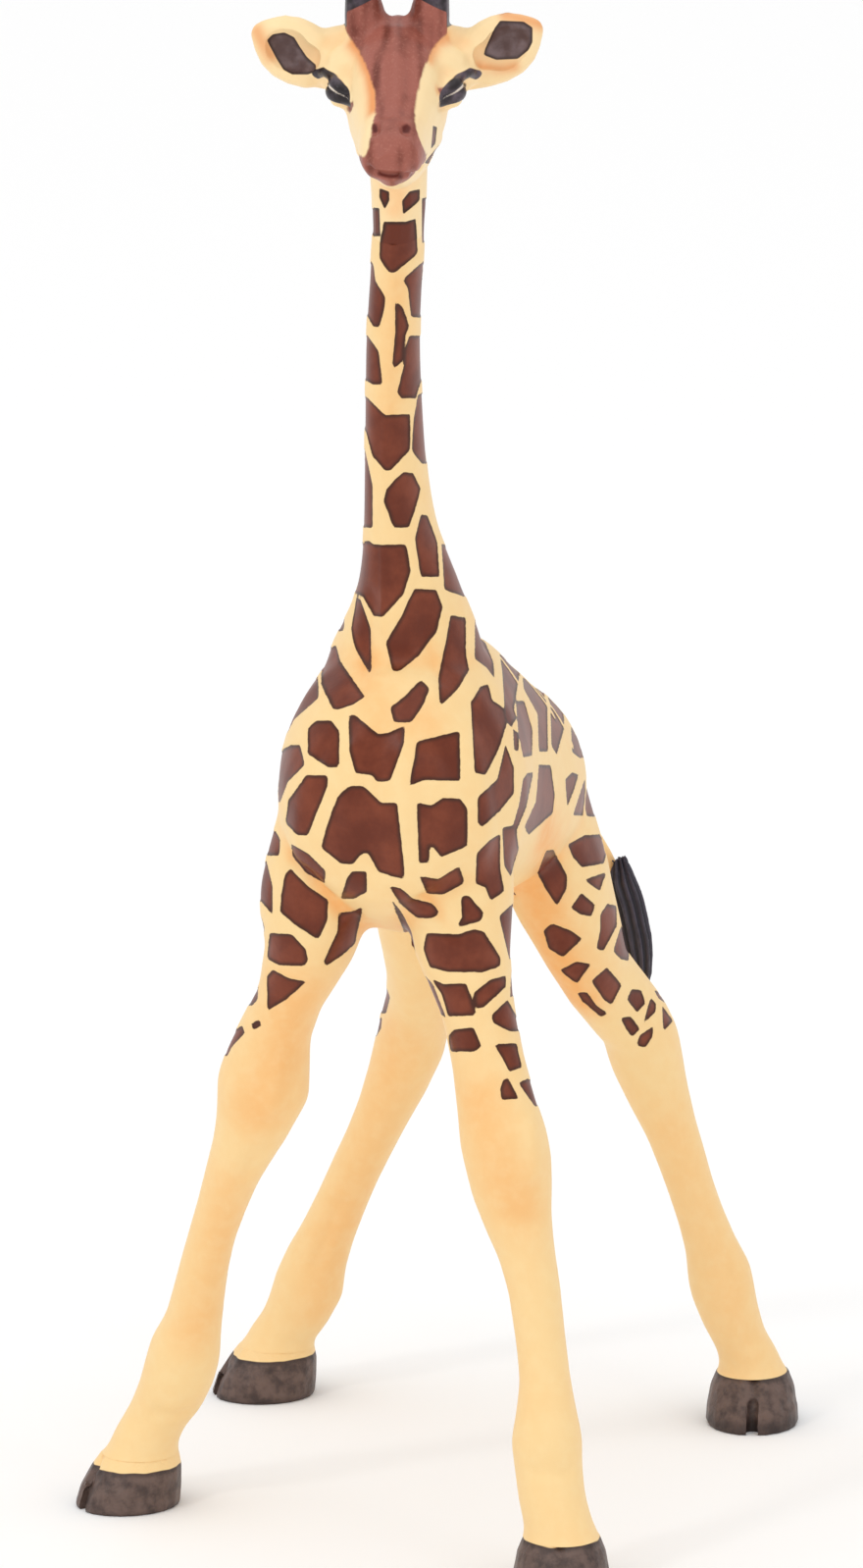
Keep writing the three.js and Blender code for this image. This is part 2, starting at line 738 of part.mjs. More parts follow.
const figure = new THREE.Group();
figure.add(
  buildTrunk(neckSeamShare, legSeamShares),
  ...buildNeck(neckSeamShare, headSeamShare),
  ...buildHead(headSeamShare),
  ...buildTail(),
  ...legs.flatMap((leg, i) => buildLeg(leg, legSeamShares[i])),
);

const box = new THREE.Box3().setFromObject(figure);
figure.position.set(-(box.min.x + box.max.x) / 2, -(box.min.y + box.max.y) / 2, -box.min.z);

export default figure;
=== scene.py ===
import itertools
import math

import bmesh
import bpy
import numpy as np
from mathutils import Matrix, Vector, noise
from mathutils.bvhtree import BVHTree
from mathutils.kdtree import KDTree


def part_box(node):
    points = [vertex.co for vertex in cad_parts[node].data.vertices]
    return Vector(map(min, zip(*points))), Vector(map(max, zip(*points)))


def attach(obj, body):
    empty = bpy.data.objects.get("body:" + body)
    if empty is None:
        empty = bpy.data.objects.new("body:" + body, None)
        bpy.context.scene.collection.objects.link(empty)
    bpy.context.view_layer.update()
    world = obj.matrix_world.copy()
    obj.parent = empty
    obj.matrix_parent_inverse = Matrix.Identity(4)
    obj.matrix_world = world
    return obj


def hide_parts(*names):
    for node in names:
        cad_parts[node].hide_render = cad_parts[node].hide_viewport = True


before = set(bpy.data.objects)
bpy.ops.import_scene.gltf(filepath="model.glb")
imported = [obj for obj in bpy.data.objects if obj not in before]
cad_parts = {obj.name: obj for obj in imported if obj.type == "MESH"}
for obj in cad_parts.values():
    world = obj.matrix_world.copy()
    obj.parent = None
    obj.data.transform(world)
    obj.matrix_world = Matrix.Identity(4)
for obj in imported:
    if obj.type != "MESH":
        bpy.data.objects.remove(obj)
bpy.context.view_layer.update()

# The mouldings are shaped in millimetres, and brought to metres when they are finished.
MM = 0.001

LEGS = ("front_left", "front_right", "hind_left", "hind_right")

# How finely each moulding is sculpted, how often it is smoothed, and how far it swells to close
# the seams meanwhile.
BODY_GRAIN = 0.25
BODY_ROUNDS = 40
HEAD_GRAIN = 0.13
HEAD_ROUNDS = 22
HOOF_GRAIN = 0.16
HAIR_GRAIN = 0.12
FINE_ROUNDS = 8
SWELL = 0.24

# The gap at the solids' seams, and the angle past which an edge stays sharp.
SEAM_GAP = 0.3
SHARP_EDGE = math.radians(50)

# The photograph's camera: where it looks, from which side, how far off, and its scale there.
PHOTO_WIDTH, PHOTO_HEIGHT = 880, 1598
LOOK_AT = Vector((5.489, -13.189, 60))
AZIMUTH = math.radians(14)
ELEVATION = math.radians(12)
CAMERA_DISTANCE = 700
PIXELS_PER_MM = 13.7
TO_CAMERA = Vector((
    math.sin(AZIMUTH) * math.cos(ELEVATION),
    -math.cos(AZIMUTH) * math.cos(ELEVATION),
    math.sin(ELEVATION),
))
CAMERA_RIGHT = Vector((math.cos(AZIMUTH), math.sin(AZIMUTH), 0))
CAMERA_UP = TO_CAMERA.cross(CAMERA_RIGHT)
CAMERA_AT = LOOK_AT + TO_CAMERA * CAMERA_DISTANCE

# How outlines in the photograph are laid on the calf: the steps along them in pixels, how far from
# them depths are measured, how far they run on where the skin turns away, and a depth for no paint.
OUTLINE_STEP = 4
TOLD_DEPTH = 2.5
TURNED_REACH = 1.1
UNPAINTED = -3.0

# Cream lines across the left flank, which the camera sees aslant: places on it, y and z in turn, in mm.
FLANK_LINES = [
    (-1.2, 69.4, -0.9, 67, -0.4, 64.2),
    (7.6, 66.6, 8.1, 65, 9.5, 61),
    (11.3, 62.6, 12.1, 58.2),
    (15.5, 55.4, 16.9, 50.4),
]

# Patches of the coat, each an outline of places in the photograph, x and y in turn. Where one
# leaves the calf's edge, it runs on round the side.
COAT_PATCHES = [
    # Under the chin and down the neck.
    (387, 193, 396, 196, 396, 204, 392, 212, 387, 202),
    (418, 196, 428, 194, 428, 204, 420, 211, 412, 217, 411, 205),
    (378, 212, 386, 213, 387, 240, 378, 240),
    (431, 203, 441, 200, 441, 250, 431, 247),
    (392, 227, 414, 227, 424, 224, 426, 258, 413, 269, 403, 277, 397, 277, 387, 263, 388, 245),
    (374, 262, 380, 270, 382, 287, 392, 303, 391, 314, 386, 333, 380, 332, 373, 318),
    (438, 266, 431, 268, 412, 285, 417, 294, 420, 322, 429, 323, 438, 318),
    (404, 308, 411, 315, 417, 333, 413, 342, 411, 367, 403, 374, 401, 371, 404, 340),
    (367, 340, 373, 341, 385, 358, 389, 391, 380, 391, 367, 383),
    (418, 343, 427, 343, 438, 333, 438, 362, 424, 405, 410, 405, 406, 400, 413, 372, 414, 356),
    (366, 402, 372, 404, 392, 424, 418, 423, 418, 458, 398, 479, 393, 479, 380, 465, 373, 440, 366, 425),
    (427, 403, 440, 396, 444, 430, 444, 470, 431, 472, 421, 459, 423, 425),
    (364, 443, 369, 446, 379, 495, 379, 537, 360, 536, 360, 446),
    (412, 482, 421, 483, 429, 498, 425, 513, 417, 537, 402, 537, 392, 510, 395, 499, 403, 490),
    (430, 525, 436, 526, 446, 552, 448, 587, 430, 587, 424, 549),
    (451, 555, 457, 556, 468, 578, 476, 608, 459, 602, 454, 600),
    (361, 555, 376, 552, 381, 556, 414, 556, 418, 582, 411, 605, 390, 628, 381, 627, 370, 607, 361, 603),
    (423, 601, 445, 602, 451, 619, 445, 643, 426, 668, 407, 683, 401, 683, 394, 655, 410, 629),
    (460, 628, 475, 630, 475, 665, 478, 682, 466, 702, 449, 718, 448, 690, 456, 652),
    (363, 610, 367, 612, 377, 641, 378, 687, 362, 659, 358, 641),
    (360, 597, 351, 625, 350, 642, 339, 643, 322, 662, 322, 630, 345, 605),
    (472, 587, 478, 598, 481, 618, 490, 631, 500, 628, 484, 590),
    (485, 632, 503, 674, 504, 690, 497, 680, 485, 671),
    (497, 634, 510, 664, 513, 684, 516, 732, 521, 740, 527, 731, 524, 722, 528, 696, 532, 672, 512, 640),
    # The left shoulder and flank.
    (491, 700, 498, 698, 502, 714, 514, 722, 517, 736, 508, 764, 495, 789, 485, 787, 481, 716),
    (527, 715, 535, 715, 543, 742, 543, 769, 534, 771, 529, 745),
    (533, 684, 548, 688, 558, 718, 559, 765, 550, 765, 549, 728, 535, 703),
    (552, 688, 566, 700, 575, 716, 575, 742, 568, 768, 563, 760, 562, 718),
    (577, 716, 600, 735, 606, 776, 592, 772, 584, 766, 583, 738),
    (516, 760, 524, 782, 524, 808, 510, 826, 492, 842, 488, 838, 488, 813, 508, 795),
    (524, 744, 529, 748, 529, 764, 525, 764),
    (534, 795, 538, 789, 544, 788, 537, 822, 528, 844, 523, 845, 530, 820),
    (550, 780, 562, 781, 566, 811, 564, 828, 540, 850, 535, 843, 547, 818),
    (577, 795, 584, 788, 590, 790, 585, 806, 579, 821),
    (597, 794, 608, 794, 614, 832, 585, 830),
    # The right shoulder.
    (337, 659, 342, 659, 346, 674, 371, 710, 360, 717, 346, 722, 340, 722, 328, 697, 328, 678),
    (323, 682, 324, 711, 300, 732, 282, 768, 272, 768, 282, 720, 312, 682),
    (322, 735, 337, 735, 345, 745, 345, 781, 334, 781, 314, 767, 314, 742),
    (296, 760, 305, 760, 310, 779, 293, 796, 285, 817, 275, 817, 275, 785, 282, 768),
    # The chest.
    (356, 729, 361, 729, 385, 749, 396, 748, 412, 740, 411,
     757, 397, 795, 384, 796, 380, 789, 363, 787, 357, 765),
    (399, 721, 413, 710, 430, 693, 437, 702, 431, 718, 419, 735, 402, 735),
    (426, 756, 468, 746, 469, 795, 432, 794, 418, 800, 423, 775),
    (312, 791, 333, 791, 333, 801, 318, 838, 313, 851, 302, 850, 291, 838, 294, 816),
    (356, 802, 370, 802, 388, 819, 404, 819, 411, 882, 411, 896, 386, 888, 376, 869, 369, 869, 359, 880,
     348, 880, 328, 864, 336, 835, 345, 812),
    (426, 819, 440, 822, 452, 814, 469, 815, 476, 824, 476,
     862, 450, 873, 443, 863, 437, 862, 437, 879, 428, 879),
    (359, 889, 373, 889, 373, 909, 360, 916, 348, 916, 354, 897),
    (429, 894, 447, 897, 468, 884, 473, 900, 452, 911, 436, 911),
    # The left foreleg.
    (398, 904, 408, 906, 421, 917, 441, 922, 447, 930, 441, 935, 424, 935, 408, 920),
    (471, 914, 478, 914, 493, 931, 490, 938, 467, 944, 472, 935),
    (400, 919, 408, 929, 419, 950, 425, 979, 418, 965, 411, 946),
    (500, 857, 510, 851, 510, 885, 514, 908, 501, 917, 496, 904, 486, 900, 487, 870),
    (513, 844, 526, 842, 529, 866, 521, 892, 515, 882),
    (435, 952, 468, 953, 484, 948, 493, 950, 510, 976, 510, 984, 492, 990, 457, 990, 438, 985, 432, 968),
    (510, 934, 523, 922, 530, 924, 530, 978, 520, 977),
    (441, 999, 452, 1004, 475, 1003, 485, 1034, 457, 1035, 451, 1014),
    (429, 990, 441, 1004, 454, 1037, 446, 1030, 436, 1008),
    (484, 1012, 501, 999, 516, 995, 516, 1005, 493, 1026, 485, 1027),
    (522, 984, 533, 984, 533, 1016, 521, 1016),
    (502, 1035, 518, 1020, 528, 1038, 532, 1050, 520, 1050, 504, 1042),
    (463, 1050, 482, 1048, 490, 1066, 484, 1071, 459, 1071, 457, 1057),
    (505, 1065, 527, 1064, 532, 1087, 520, 1091, 512, 1076),
    (514, 1101, 518, 1099, 528, 1119, 512, 1120, 511, 1110),
    (530, 1104, 541, 1099, 556, 1129, 546, 1127),
    (533, 1069, 548, 1070, 552, 1093, 541, 1092),
    # The right foreleg.
    (297, 861, 314, 871, 331, 888, 330, 900, 312, 889, 298, 872),
    (296, 886, 312, 903, 334, 918, 333, 938, 324, 957, 300, 941, 286, 929, 287, 912, 291, 891),
    (277, 842, 285, 856, 284, 871, 265, 871),
    (271, 878, 277, 903, 277, 931, 266, 918, 256, 912, 258, 885),
    (263, 925, 269, 944, 268, 962, 254, 962, 254, 925),
    (275, 952, 297, 953, 311, 968, 313, 979, 310, 984, 284, 983, 272, 976),
    (278, 989, 294, 998, 311, 1001, 293, 1017, 273, 1029, 272, 996),
    (346, 931, 360, 930, 369, 925, 362, 962, 348, 974, 333, 984, 331, 980, 345, 950),
    (263, 1002, 262, 1018, 257, 1024, 246, 1024, 250, 1003),
    (264, 1040, 266, 1045, 258, 1049, 256, 1044),
    (246, 1046, 249, 1052, 236, 1066, 231, 1076, 222, 1074, 228, 1056),
    # The left hind leg.
    (580, 861, 597, 852, 612, 851, 620, 862, 616, 879, 594, 883, 585, 873),
    (557, 868, 564, 867, 578, 893, 577, 907, 568, 922, 557, 905, 549, 890),
    (597, 897, 618, 890, 612, 907),
    (583, 925, 593, 911, 607, 923, 603, 933, 592, 931),
    (613, 932, 620, 922, 629, 924, 629, 943, 616, 968, 609, 967, 613, 948),
    (634, 944, 642, 958, 641, 978, 634, 977, 626, 969),
    (555, 949, 563, 942, 581, 949, 593, 957, 574, 975, 560, 967),
    (572, 989, 588, 981, 602, 983, 588, 1002, 577, 994),
    (604, 1000, 619, 987, 634, 1004, 624, 1023, 617, 1019),
    (589, 1012, 598, 1012, 608, 1026, 619, 1033, 613, 1036, 594, 1020),
    (640, 1018, 645, 1009, 654, 1010, 658, 1022, 650, 1031),
    (634, 1038, 643, 1037, 652, 1049, 645, 1056, 639, 1048),
    (664, 1018, 669, 1023, 668, 1031, 657, 1042),
    (666, 1047, 665, 1057, 658, 1067, 650, 1065, 653, 1056),
    (676, 1026, 686, 1040, 677, 1050),
    (668, 1010, 684, 1014, 682, 1024, 672, 1017),
    (686, 1029, 698, 1036, 698, 1046, 690, 1041),
    # The right hind leg's edge.
    (381, 946, 389, 966, 392, 992, 378, 992, 372, 950),
    (393, 1004, 397, 1016, 393, 1032, 380, 1032, 380, 1006),
    (389, 1037, 388, 1047, 382, 1058, 370, 1056, 374, 1040),
    # The left cheek and jaw.
    (442, 129, 446, 131, 444, 147, 440, 151, 441, 140),
    (449, 147, 456, 152, 450, 164, 438, 168, 434, 165, 441, 157),
]

# Where the coat is patched out of the photograph's sight: how low on each leg, and how broad a
# patch is there, at a leg's lowest patches, on the neck and on the trunk.
LOWEST_PATCH = {"front_left": 35.5, "front_right": 38.5, "hind_left": 38.5, "hind_right": 39}
LEG_PATCH_WIDTH = 2.3
NECK_PATCH_WIDTH = 3.4
TRUNK_PATCH_WIDTH = 5.4
# How deep the least patch is, how closely patches crowd as a share of their breadth, what seeds
# the waver of their edges, and how squarely the belly's bare underside faces down.
LEAST_PATCH = 0.45
CROWDING = 0.86
WOBBLE_SEED = 1795886277
BELLY_SIDE = 0.62
# How wide a cream line is, how far a traced patch runs over its outline, and how hollow it lies.
COAT_LINE = 0.8
PATCH_MARGIN = 0.07
PATCH_HOLLOW = 0.07

# Where the coat is painted warmer: how strongly, how far round in mm, and its path in the photograph.
# The warmer strokes are partly an airbrushed tone and partly painted shade: under the chin, between the legs
# and on the legs' inner sides.
COAT_WARMTH_AND_SHADE = [
    # The front legs, from the knees down.
    (0.7, 3.4, 305, 1010, 290, 1060, 262, 1130),
    (0.45, 3.0, 232, 1210, 215, 1300, 195, 1360),
    (0.6, 3.2, 490, 1125, 508, 1185, 528, 1230),
    # The hind legs.
    (0.45, 3.6, 400, 1060, 372, 1180, 335, 1290, 325, 1330),
    (0.3, 3.2, 690, 1150, 735, 1290, 760, 1380),
    (1.0, 3.0, 556, 850, 548, 890, 556, 950, 590, 1020),
    # The belly between the legs, the chest and the throat.
    (0.8, 2.2, 385, 905, 376, 960),
    (0.55, 2.6, 372, 690, 392, 735, 430, 735),
    (0.45, 1.6, 406, 288, 402, 330, 400, 400, 396, 425),
    (0.9, 1.2, 398, 197, 408, 205, 404, 214),
]

# Where the body is raised or pressed in: how far and how far round in mm, and the path.
BODY_STROKES = [
    # The keel of the chest and the fold between the front legs.
    (-0.3, 1.8, 392, 735, 382, 800, 374, 840, 380, 885),
    (0.25, 1.5, 360, 760, 356, 830),
    (0.25, 1.5, 415, 770, 410, 840),
    # The line that the mould's halves left down the throat.
    (0.12, 0.4, 400, 222, 401, 280, 398, 340, 396, 400,
     393, 440, 391, 480, 390, 560, 389, 640, 386, 690),
    # The folds where the front legs leave the chest, and the muscles beside them.
    (-0.3, 1.0, 296, 872, 314, 888, 334, 912, 350, 930),
    (-0.3, 1.0, 432, 915, 448, 935, 462, 950),
    (0.3, 1.8, 322, 780, 308, 840, 300, 900),
    (0.3, 1.8, 478, 760, 492, 820, 490, 880),
    # The tendons of the neck where it meets the shoulders.
    (-0.25, 1.1, 378, 610, 372, 660, 366, 700),
    (-0.25, 1.1, 424, 600, 436, 640, 452, 690),
    # The knees and the hocks.
    (0.25, 1.2, 283, 1090, 276, 1130),
    (-0.2, 1.0, 262, 1175, 250, 1200),
    (0.25, 1.3, 540, 1150, 543, 1195),
    (-0.2, 1.0, 520, 1240, 540, 1250),
    (-0.2, 0.9, 742, 1300, 765, 1370),
    (-0.2, 0.9, 345, 1230, 322, 1290),
    (-0.2, 0.8, 160, 1440, 190, 1440),
    (-0.2, 0.8, 545, 1500, 580, 1500),
]

# Places on the head are given forward, left and up from the brow's middle.
HEAD_MIDDLE = Vector((4.93, -21.3, 112.0))
HEAD_TURN = math.radians(12)
HEAD_FORWARD = Vector((math.sin(HEAD_TURN), -math.cos(HEAD_TURN), 0))
HEAD_LEFT = Vector((math.cos(HEAD_TURN), math.sin(HEAD_TURN), 0))

# Where the head's skin begins on the neck, and where it goes on from the body's patches.
HEAD_FROM = 97
NAPE_FROM = 95

# Where the ears and the horns leave the skull, and how thick they are there.
EAR_ROOT = (-2.2, 6.3, 2.6)
EAR_ROUND = 3.4
HORN_ROOT = (-0.6, 2.3)
HORN_ROUND = 1.9
HORN_CUT = 119.0

# Clay laid on both sides of the head: a stretch from place to place, each with its radius.
HEAD_CLAY = [
    [(-1.6, 4.7, 3.2, 1.0), (-0.4, 4.95, 2.45, 0.8), (1.4, 4.15, 2.1, 0.6), (2.9, 3.2, 1.15, 0.45)],
    [(-0.6, 4.9, 1.7, 0.75), (1.2, 4.0, 0.75, 0.62), (2.4, 3.3, 0.2, 0.5)],
    [(-1.6, 2.6, 4.7, 1.2), (-2.1, 5.6, 4.1, 1.1)],
    [(-2.1, 4.0, 2.0, 1.5), (-2.3, 6.4, 2.2, 1.3)],
    [(2.6, 2.7, -0.4, 0.7), (6.5, 1.9, -1.3, 0.7)],
    [(9.2, 1.0, -0.5, 0.9), (10.5, 1.05, -1.1, 0.85)],
    [(10.0, 0.9, -1.9, 1.3), (10.7, 0.9, -2.1, 1.25)],
    [(8.6, 0.5, -3.7, 0.8), (10.3, 0.5, -3.5, 0.75)],
    [(-2.0, 2.2, -2.6, 1.1), (3.0, 2.0, -2.9, 0.9)],
    [(-0.9, 2.3, 4.4, 1.75), (-0.8, 2.3, 6.6, 1.45)],
]

# An eye, flat against the side of the head: its lash line, its ball and the pale rim between, a painted
# highlight.
EYE_MIDDLE = (1.15, 4.55, 1.55)
EYE_ALONG = (0.80, -0.52, -0.27)
EYE_OUTWARD = (0.52, 0.84, 0.12)
LASH_LINE = [(-2.0, 0.0), (-1.1, 0.52), (0.3, 0.64), (1.5, 0.58), (2.3, 0.4), (3.1, 0.2)]
EYEBALL = (1.1, -0.36, 2.0, 0.5)
LASH_WIDTH = 0.32

# The brown blaze down the face, the brown of the chin, the mouth's dark line, the brown in the
# eyes' corners, a painted highlight down the nose, the ears' hollows and the nostrils.
BLAZE = (
    348, -90, 352, 30, 356, 37, 362, 46, 370, 60, 376, 74, 380, 86, 383, 100, 383, 116, 380, 124,
    378, 140, 375, 152, 371, 163, 370, 177, 380, 183, 392, 179, 420, 179, 428, 174, 436, 169,
    434, 156, 430, 147, 426, 137, 423, 124, 424, 104, 427, 90, 431, 74, 436, 62, 441, 50, 448, 41,
    456, 34, 462, -90,
)
CHIN = (380, 175, 434, 171, 429, 183, 420, 191, 402, 193, 392, 189, 384, 181)
MOUTH_LINE = (386, 177, 396, 179.5, 408, 180, 419, 179)
EYE_CORNERS = [
    (446, 90, 452, 89, 457, 96, 456, 103, 450, 99),
    (354, 106, 360, 103, 361, 108, 357, 115, 353, 113),
]
NOSE_PAINTED_HIGHLIGHT = (404, 60, 404, 90, 402, 116)
EAR_HOLLOWS = [
    (272, 41, 278, 35, 290, 33, 300, 38, 306, 48, 313, 58,
     322, 66, 322, 73, 314, 76, 298, 76, 289, 71, 282, 60),
    (510, 21, 534, 22, 543, 28, 543, 43, 539, 51, 528, 60, 506, 61, 493, 56, 495, 49, 500, 38, 504, 29),
]
NOSTRILS = [
    (380, 126, 384, 127, 385, 134, 381, 136, 379, 131),
    (410, 129, 415, 126, 419, 130, 417, 136, 411, 135),
]

# Where the airbrush warmed the head: how strongly, how far round, and its path.
HEAD_BLUSH = [
    (1.0, 0.85, 360, 44, 368, 56, 376, 74, 380, 96, 380, 112),
    (0.8, 0.8, 456, 38, 444, 44, 438, 60),
    (0.7, 0.9, 262, 32, 268, 44, 276, 56),
    (0.8, 0.8, 516, 16, 534, 15, 550, 24),
    (0.7, 0.7, 490, 68, 506, 70, 524, 68),
    (0.6, 0.6, 446, 92, 452, 102),
]

# Where the head is raised or pressed in, as on the body.
HEAD_STROKES = [
    # The mouth and the nostrils.
    (-0.36, 0.38, 376, 172, 386, 177, 396, 179, 408, 179, 420, 178, 430, 172),
    (-0.5, 0.6, 382, 129, 382, 133),
    (-0.5, 0.6, 413, 130, 414, 133),
    # The forehead's ridge and the long nose.
    (0.15, 1.0, 405, 30, 405, 60, 404, 100),
    (-0.2, 0.9, 392, 60, 392, 90, 392, 116),
    (-0.2, 0.9, 418, 60, 417, 90, 414, 116),
    # The ears' bowls.
    (-0.2, 1.2, 284, 46, 300, 58),
    (-0.2, 1.4, 510, 48, 530, 36),
]

# How high the hooves' own skins reach, how high the grey was painted on each, and how far the
# clefts are pressed in.
HOOF_BELOW = 8
HOOF_EDGE = {"front_left": 3.95, "front_right": 3.2, "hind_left": 4.1, "hind_right": 3.4}
HOOF_STROKES = [
    (-0.32, 0.5, 90, 1512, 98, 1496, 103, 1483),
    (-0.32, 0.5, 226, 1398, 234, 1382, 240, 1368),
    (-0.32, 0.5, 768, 1398, 768, 1432),
    (-0.32, 0.5, 571, 1562, 572, 1612),
    # The walls' swelling beside the clefts, and a chip or two.
    (0.15, 0.7, 112, 1498, 106, 1524),
    (0.15, 0.7, 248, 1380, 240, 1404),
    (0.15, 0.7, 754, 1412, 756, 1440),
    (0.15, 0.7, 784, 1412, 784, 1440),
    (-0.12, 0.5, 140, 1530, 170, 1524),
    (-0.12, 0.5, 800, 1436, 812, 1424),
]


def paint(red, green, blue):
    """A colour given as on a screen, from 0 to 255, as Blender's nodes take it."""
    shares = (red / 255, green / 255, blue / 255)
    return tuple(s / 12.92 if s < 0.04 else ((s + 0.055) / 1.055) ** 2.4 for s in shares) + (1,)


# The paints.
CREAM = paint(249, 214, 154)
CREAM_FLECK = paint(253, 230, 178)
PEACH = paint(248, 184, 112)
PATCH_RED = paint(100, 38, 14)
PATCH_PALE = paint(134, 64, 38)
PATCH_RIM = paint(52, 24, 8)
FACE_CREAM = paint(255, 236, 196)
FACE_ORANGE = paint(232, 140, 70)
BLAZE_DARK = paint(106, 46, 32)
BLAZE_PALE = paint(160, 92, 78)
BLAZE_FLECK = paint(188, 124, 106)
NOSTRIL_RED = paint(92, 26, 16)
LID_BLACK = paint(38, 31, 34)
LID_SHEEN = paint(94, 82, 92)
LID_GLINT = paint(236, 222, 208)
EAR_DEEP = paint(88, 66, 64)
EAR_SHEEN = paint(124, 106, 108)
EAR_RIM = paint(52, 38, 36)
HOOF_GREY = paint(108, 88, 80)
HOOF_SCUFF = paint(70, 56, 52)
HOOF_DARK = paint(44, 34, 32)
# The mane's and the tuft's darker paints also stand for painted shade between the strands.
MANE_BROWN = paint(84, 42, 30)
MANE_DEEP = paint(38, 20, 16)
TUFT_GREY = paint(74, 68, 80)
TUFT_BLACK = paint(36, 33, 40)


def sight(x, y):
    """The direction from the camera through a place in the photograph."""
    across = CAMERA_RIGHT * ((x - PHOTO_WIDTH / 2) / PIXELS_PER_MM)
    upward = CAMERA_UP * ((PHOTO_HEIGHT / 2 - y) / PIXELS_PER_MM)
    return (LOOK_AT + across + upward - CAMERA_AT).normalized()


def smooth_step(low, high, value):
    """0 below low, 1 above high, and smooth between."""
    share = np.clip((value - low) / (high - low), 0, 1)
    return share * share * (3 - 2 * share)


def roughly(points, per_mm):
    """A smooth value from -1 to 1 at each point."""
    return np.array([noise.noise(Vector(point * per_mm)) for point in points])


def nearness(points, path):
    """Each point's distance from a path of straight stretches."""
    nearest = np.full(len(points), np.inf)
    for start, end in zip(path, path[1:]):
        start, along = np.array(start), np.array(end) - np.array(start)
        share = np.clip((points - start) @ along / (along @ along), 0, 1)
        nearest = np.minimum(nearest, np.linalg.norm(points - start - share[:, None] * along, axis=1))
    return nearest


def along_strokes(target, strokes, join):
    """A value at each vertex that fades away from strokes, joined where more than one reaches."""
    values = np.zeros(len(target.points))
    for height, reach, *pixels in strokes:
        path = target.path(*pixels)
        if len(path) > 1:
            values = join(values, height * np.exp(-2 * (nearness(target.points, path) / reach) ** 2))
    return values


def encloses(outline, spots):
    """Whether a closed outline goes round each flat spot."""
    crossings = np.zeros(len(spots), bool)
    for start, end in zip(outline, np.roll(outline, -1, axis=0)):
        level = (start[1] > spots[:, 1]) != (end[1] > spots[:, 1])
        rise = end[1] - start[1] or 1e-12
        crossings ^= level & (spots[:, 0] < start[0] + (spots[:, 1] - start[1]) * (end[0] - start[0]) / rise)
    return crossings


def forest(points):
    """A tree that finds the nearest of some points."""
    tree = KDTree(len(points))
    for number, point in enumerate(points):
        tree.insert(point, number)
    tree.balance()
    return tree


def borrow(values, points, wanted):
    """Values known at some points, evened out over other places near them."""
    tree = forest(points)
    found = [tree.find_n(spot, 4) for spot in wanted]
    weights = np.array([[1 / (near[2] + 0.02) for near in four] for four in found])
    shares = np.array([[values[near[1]] for near in four] for four in found])
    return (weights * shares).sum(axis=1) / weights.sum(axis=1)


def box_mm(node):
    """The low and the high corner of a node."""
    return [np.array(corner / MM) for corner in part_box(node)]


# Meshes: copies of the solids, run together, smoothed and sculpted.


def only(piece):
    """Selects one piece and makes it the active one."""
    bpy.ops.object.select_all(action="DESELECT")
    piece.select_set(True)
    bpy.context.view_layer.objects.active = piece


def apply_all(piece):
    only(piece)
    for modifier in list(piece.modifiers):
        bpy.ops.object.modifier_apply(modifier=modifier.name)


def per_vertex(mesh, name):
    flat = np.empty(len(mesh.vertices) * 3)
    mesh.vertices.foreach_get(name, flat)
    return flat.reshape(-1, 3)


def places(mesh):
    return per_vertex(mesh, "co")


def normals(mesh):
    return per_vertex(mesh, "normal")


def place(mesh, points):
    mesh.vertices.foreach_set("co", points.ravel())
    mesh.update()


def keep(mesh, name, values):
    """Stores a value for each vertex, for the materials to read."""
    attribute = mesh.attributes.new(name, "FLOAT", "POINT")
    attribute.data.foreach_set("value", values.astype(np.float32))


def skin_tree(mesh):
    """A tree that finds where sight lines meet a mesh."""
    return BVHTree.FromPolygons([v.co for v in mesh.vertices], [tuple(f.vertices) for f in mesh.polygons])


def moulding(name, *nodes, above=None, below=None):
    """Copies of the solids of some nodes, or a slice of them, joined and measured in millimetres."""
    copies = []
    for node in nodes:
        piece = bpy.data.objects.new(name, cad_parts[node].data.copy())
        bpy.context.scene.collection.objects.link(piece)
        copies.append(piece)
    only(copies[0])
    for piece in copies:
        piece.select_set(True)
    if len(copies) > 1:
        bpy.ops.object.join()
    piece = copies[0]
    piece.name = name
    piece.data.transform(Matrix.Scale(1 / MM, 4))
    piece.data.materials.clear()
    bpy.ops.object.mode_set(mode="EDIT")
    bpy.ops.mesh.select_all(action="SELECT")
    bpy.ops.mesh.remove_doubles(threshold=0.002)
    for height, waste in ((above, {"clear_inner": True}), (below, {"clear_outer": True})):
        if height is not None:
            bpy.ops.mesh.select_all(action="SELECT")
            bpy.ops.mesh.bisect(plane_co=(0, 0, height), plane_no=(0, 0, 1), use_fill=True, **waste)
    bpy.ops.object.mode_set(mode="OBJECT")
    return piece


class Net:
    """The edges of a mesh, to even out values from each vertex to the next."""

    def __init__(self, mesh):
        ends = np.empty(len(mesh.edges) * 2, np.int32)
        mesh.edges.foreach_get("vertices", ends)
        self.one, self.other = ends.reshape(-1, 2).T
        self.size = len(mesh.vertices)
        self.count = np.maximum(np.bincount(ends, minlength=self.size), 1)

    def mean(self, values):
        if values.ndim > 1:
            return np.stack([self.mean(column) for column in values.T], axis=1)
        total = np.bincount(self.one, values[self.other], self.size)
        total += np.bincount(self.other, values[self.one], self.size)
        return total / self.count

    def even(self, values, rounds):
        for _ in range(rounds):
            values = (values + self.mean(values)) / 2
        return values

    def even_beside(self, seen, values, rounds):
        """Evens values out along the edge between what is seen and what isn't."""
        share = self.even(seen.astype(float), rounds)
        beside = np.clip(6 * share * (1 - share), 0, 1)
        return values + beside * (self.even(values, rounds) - values)


def relax(piece, rounds):
    """Smooths facets and joins away without making the piece thinner."""
    net = Net(piece.data)
    before = places(piece.data)
    after = net.even(before, rounds)
    place(piece.data, after + net.even(before - after, rounds))
    return net


